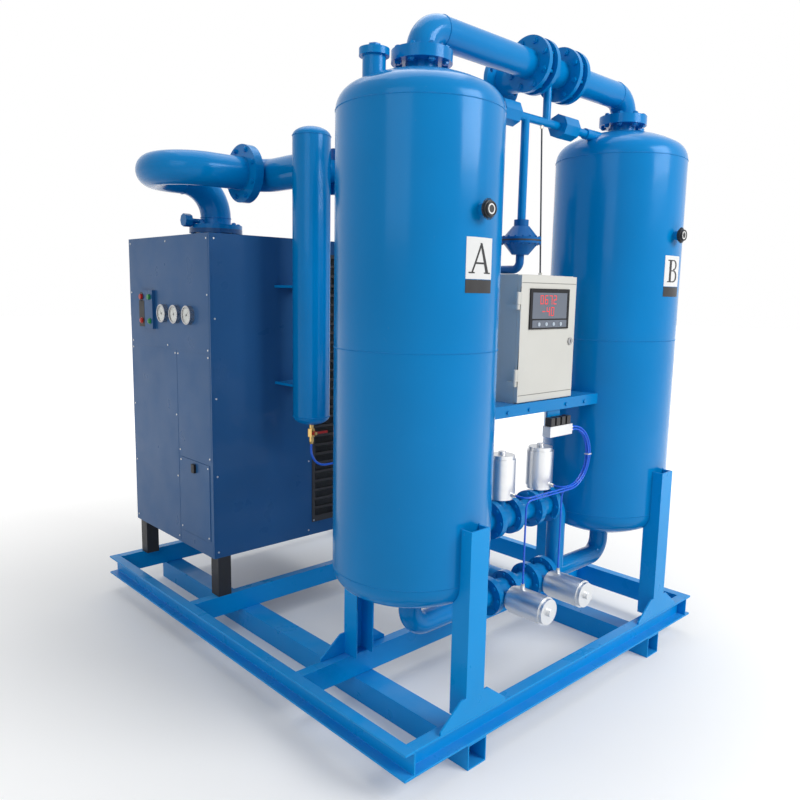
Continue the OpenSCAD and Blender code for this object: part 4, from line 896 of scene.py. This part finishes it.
screw_in, guard_in, guard_rim = 0.013, 0.014, 0.010
panel_in_y, panel_in_z = 0.012, 0.015
first_y, last_y, mid_y = near_y + screw_in, far_y - screw_in, (near_y + far_y) / 2
upper_rows, lower_rows = (1.42, 1.68, 1.94), (0.43, 0.75, 1.07, 1.385)
tall_rows, guard_row = (0.43, 0.81, 1.19, 1.57, 1.94), 1.18
rim = [(y, z) for y in (first_y, last_y) for z in upper_rows]
rim += [(mid_y, z) for z in (upper_rows[0], upper_rows[-1])]
rim += [(y, z) for y in (post_y + seam + screw_in, last_y) for z in lower_rows]
rim += [(y, z) for y in (first_y, post_y - screw_in) for z in (hatch_high + panel_in_z, lower_rows[-1])]
screws("sheet_screws", [(cab_lo.x - proud, y, z) for y, z in rim], left_way)
panel_x = cab_lo.x - 0.003
screws("panel_screws", [(panel_x, y, z) for y in (hatch_lo.y + panel_in_y, hatch_hi.y - panel_in_y)
                        for z in (hatch_lo.z + panel_in_z, hatch_hi.z - panel_in_z)], left_way)
screws("front_screws", [(x, cab_lo.y - proud, z) for x in (near_x + screw_in, guard_x - guard_in)
                        for z in tall_rows], front_way)
rear_in = rear_gap + screw_in
rear_columns = (near_x + screw_in, rear_x - rear_in, rear_x + rear_in, far_x - screw_in)
screws("rear_screws", [(x, cab_hi.y + proud, z) for x in rear_columns for z in tall_rows], rearward)
screws("right_screws", [(cab_hi.x + proud, y, z) for y in (first_y, mid_y, last_y)
                        for z in (vent_z + screw_in, roof_z - screw_in)], across)
screws("grille_screws", [(x, guard_lo.y, z) for x in (guard_lo.x + guard_rim, guard_hi.x - guard_rim)
                         for z in (guard_lo.z + guard_rim, guard_row, guard_hi.z - guard_rim)], front_way)

# The gauges and lamps: white dials with printed ticks under clear glass, and a lamp below each push button.
# The bezels are plated steel; the red lamp and the stop button share a dark strip on the switch plate.
dial_white = plain("dial_white", (0.64, 0.63, 0.61), rough=0.5)
clear_glass, nt, skin, at = blank("clear_glass")
nt.links.new(spread(nt, noise(nt, at, 30), 0.3, 0.7, 0.02, 0.05), skin.inputs["Roughness"])
skin.inputs["Base Color"].default_value = (0.95, 0.97, 0.97, 1)
skin.inputs["Transmission Weight"].default_value = 1.0
skin.inputs["IOR"].default_value = 1.1
gauge_pitch, dial_r, glass_r = 0.135, 0.0388, 0.0389
tail, point, tail_half, tip_half = 0.010, 0.031, 0.0016, 0.0004
middle_gauge = middle("gauges")
for i, bent in enumerate((-0.9, 0.2, 0.7)):
    hub = Vector((cab_lo.x - 0.018, middle_gauge.y + gauge_pitch * (i - 1), middle_gauge.z))
    bm = bmesh.new()
    turned(bm, [(0, 0), (dial_r, 0), (dial_r, 0.0006), (0, 0.0006)], hub, left_way, 64)
    placed("dial_%d" % i, bm, dial_white)
    sweep = [math.radians(-135 + 270 * k / 60) for k in range(61)]
    for what, count, r, long in (("marks", 10, 0.0325, 0.007), ("ticks", 46, 0.0345, 0.003)):
        arc = [hub + Vector((-0.0008, r * math.sin(t), r * math.cos(t))) for t in sweep]
        ticks("%s_%d" % (what, i), arc, count, (long, 0.0005, 0.0009), ink_black, "bare_steel")
    bm = bmesh.new()
    wide, tip = Vector((0, math.cos(bent), -math.sin(bent))), Vector((0, math.sin(bent), math.cos(bent)))
    outline = (wide * tail_half - tip * tail, wide * tip_half + tip * point,
               -wide * tip_half + tip * point, -wide * tail_half - tip * tail)
    blade = bm.faces.new([bm.verts.new(hub + Vector((-0.002, 0, 0)) + v) for v in outline])
    bmesh.ops.solidify(bm, geom=[blade], thickness=0.0005)
    turned(bm, [(0, 0.0005), (0.004, 0.0005), (0.004, 0.0028), (0, 0.0032)], hub, left_way, 24)
    placed("needle_%d" % i, bm, ink_black)
    bm = bmesh.new()
    turned(bm, [(0, 0.0042), (glass_r, 0.0042), (glass_r, 0.0052), (0, 0.0052)], hub, left_way, 64)
    placed("dial_glass_%d" % i, bm, clear_glass)
plate_lo = span("switch_plate")[0]
stop, start = middle("stop_button"), middle("start_button")
lamp_z, ring_in, ring_out = plate_lo.z + 0.040, 0.0165, 0.0245
bm = bmesh.new()
slab(bm, (plate_lo.x - proud, stop.y - 0.032, plate_lo.z + 0.008),
     (plate_lo.x + bite, stop.y + 0.031, stop.z - 0.020))
turned(bm, [(ring_in, 0), (ring_in, proud), (ring_out, proud), (ring_out, 0), (ring_in, 0)],
       (plate_lo.x, stop.y, stop.z), left_way)
placed("switch_strip", bm, moulded_black, smooth=False)
lens_shape = [(0, 0), (0.016, 0), (0.016, 0.003), (0.013, 0.0035), (0.0125, 0.008), (0.010, 0.0105),
              (0.005, 0.0118), (0, 0.012)]
for tone, y, finish in (("red", stop.y, red_moulding), ("green", start.y, green_moulding)):
    bm = bmesh.new()
    turned(bm, lens_shape, (plate_lo.x, y, lamp_z), left_way)
    placed(tone + "_lamp", bm, finish)

# The cross-over pipe and pre-filter: the wet air pipe loops over the cabinet roof to a standing filter.
# Pipe, flanges and filter are welded and painted as the towers; a brass valve drains the filter's foot.
brass_forging = metal("brass_forging", (0.70, 0.47, 0.17), rough=0.32, wave=0.1, bump=0.15)
turned_steel = metal("turned_steel", (0.58, 0.59, 0.60), rough=0.3, stretch=(1, 0.05, 0.05))
dress(tower_enamel, "cross_over_pipe", "filter_elbow", "pre_filter", "transfer_pipe")
hose_r, hose_bend = 0.006, 0.090
hose_lo, hose_hi = span("drain_tube")
filter_x, filter_y = hose_lo.x + hose_r, (hose_lo.y + hose_hi.y) / 2
filter_r, cross_r = 0.0895, 0.0795
flange_r, cross_bend, pair_half = 0.140, 0.190, 0.024
over_lo, over_hi = span("cross_over_pipe")
roof_x, roof_y = over_hi.x - flange_r, over_hi.y - flange_r
pair_x, pair = span("filter_elbow")[0].x, middle("filter_elbow")
filter_ends, stub_ends = (1.100, 2.420), (0.023, 0.060)
filter_runs = [hoop((filter_x, filter_y, z), up, filter_r) for z in filter_ends]
filter_runs += [hoop((roof_x, roof_y, over_lo.z + dz), up, cross_r) for dz in stub_ends]
filter_runs += [hoop((x, y, pair.z), across, cross_r) for x, y in (
    (roof_x - cross_bend, roof_y), (pair_x - pair_half, pair.y), (pair_x + pair_half, pair.y))]
beads("filter_welds", filter_runs, tower_enamel, bead=0.003, pitch=0.005)
dress(tower_enamel, "filter_bracket", edge=0.001)
dress(brass_forging, "drain_valve", edge=0.0006)
dress(red_moulding, "drain_lever", edge=0.001)
dress(turned_steel, "drain_trap", edge=0.001)
hose_z = hose_lo.z + hose_r
hose_run = [(filter_x, filter_y, hose_hi.z), (filter_x, filter_y, hose_z), (hose_hi.x, filter_y, hose_z)]
air_tube("drain_hose", hose_run, (hose_bend,), hose_r, tube_blue, "drain_tube")
nut_r, nut_tall, nut_in = 0.0095, 0.012, 0.0005
bolts("hose_nut_top", [(filter_x, filter_y, hose_hi.z + nut_in)], (0, 0, -1), brass_forging, nut_r, nut_tall,
      slot="brass")
bolts("hose_nut_end", [(hose_hi.x + nut_in, filter_y, hose_z)], left_way, brass_forging, nut_r, nut_tall,
      slot="brass")
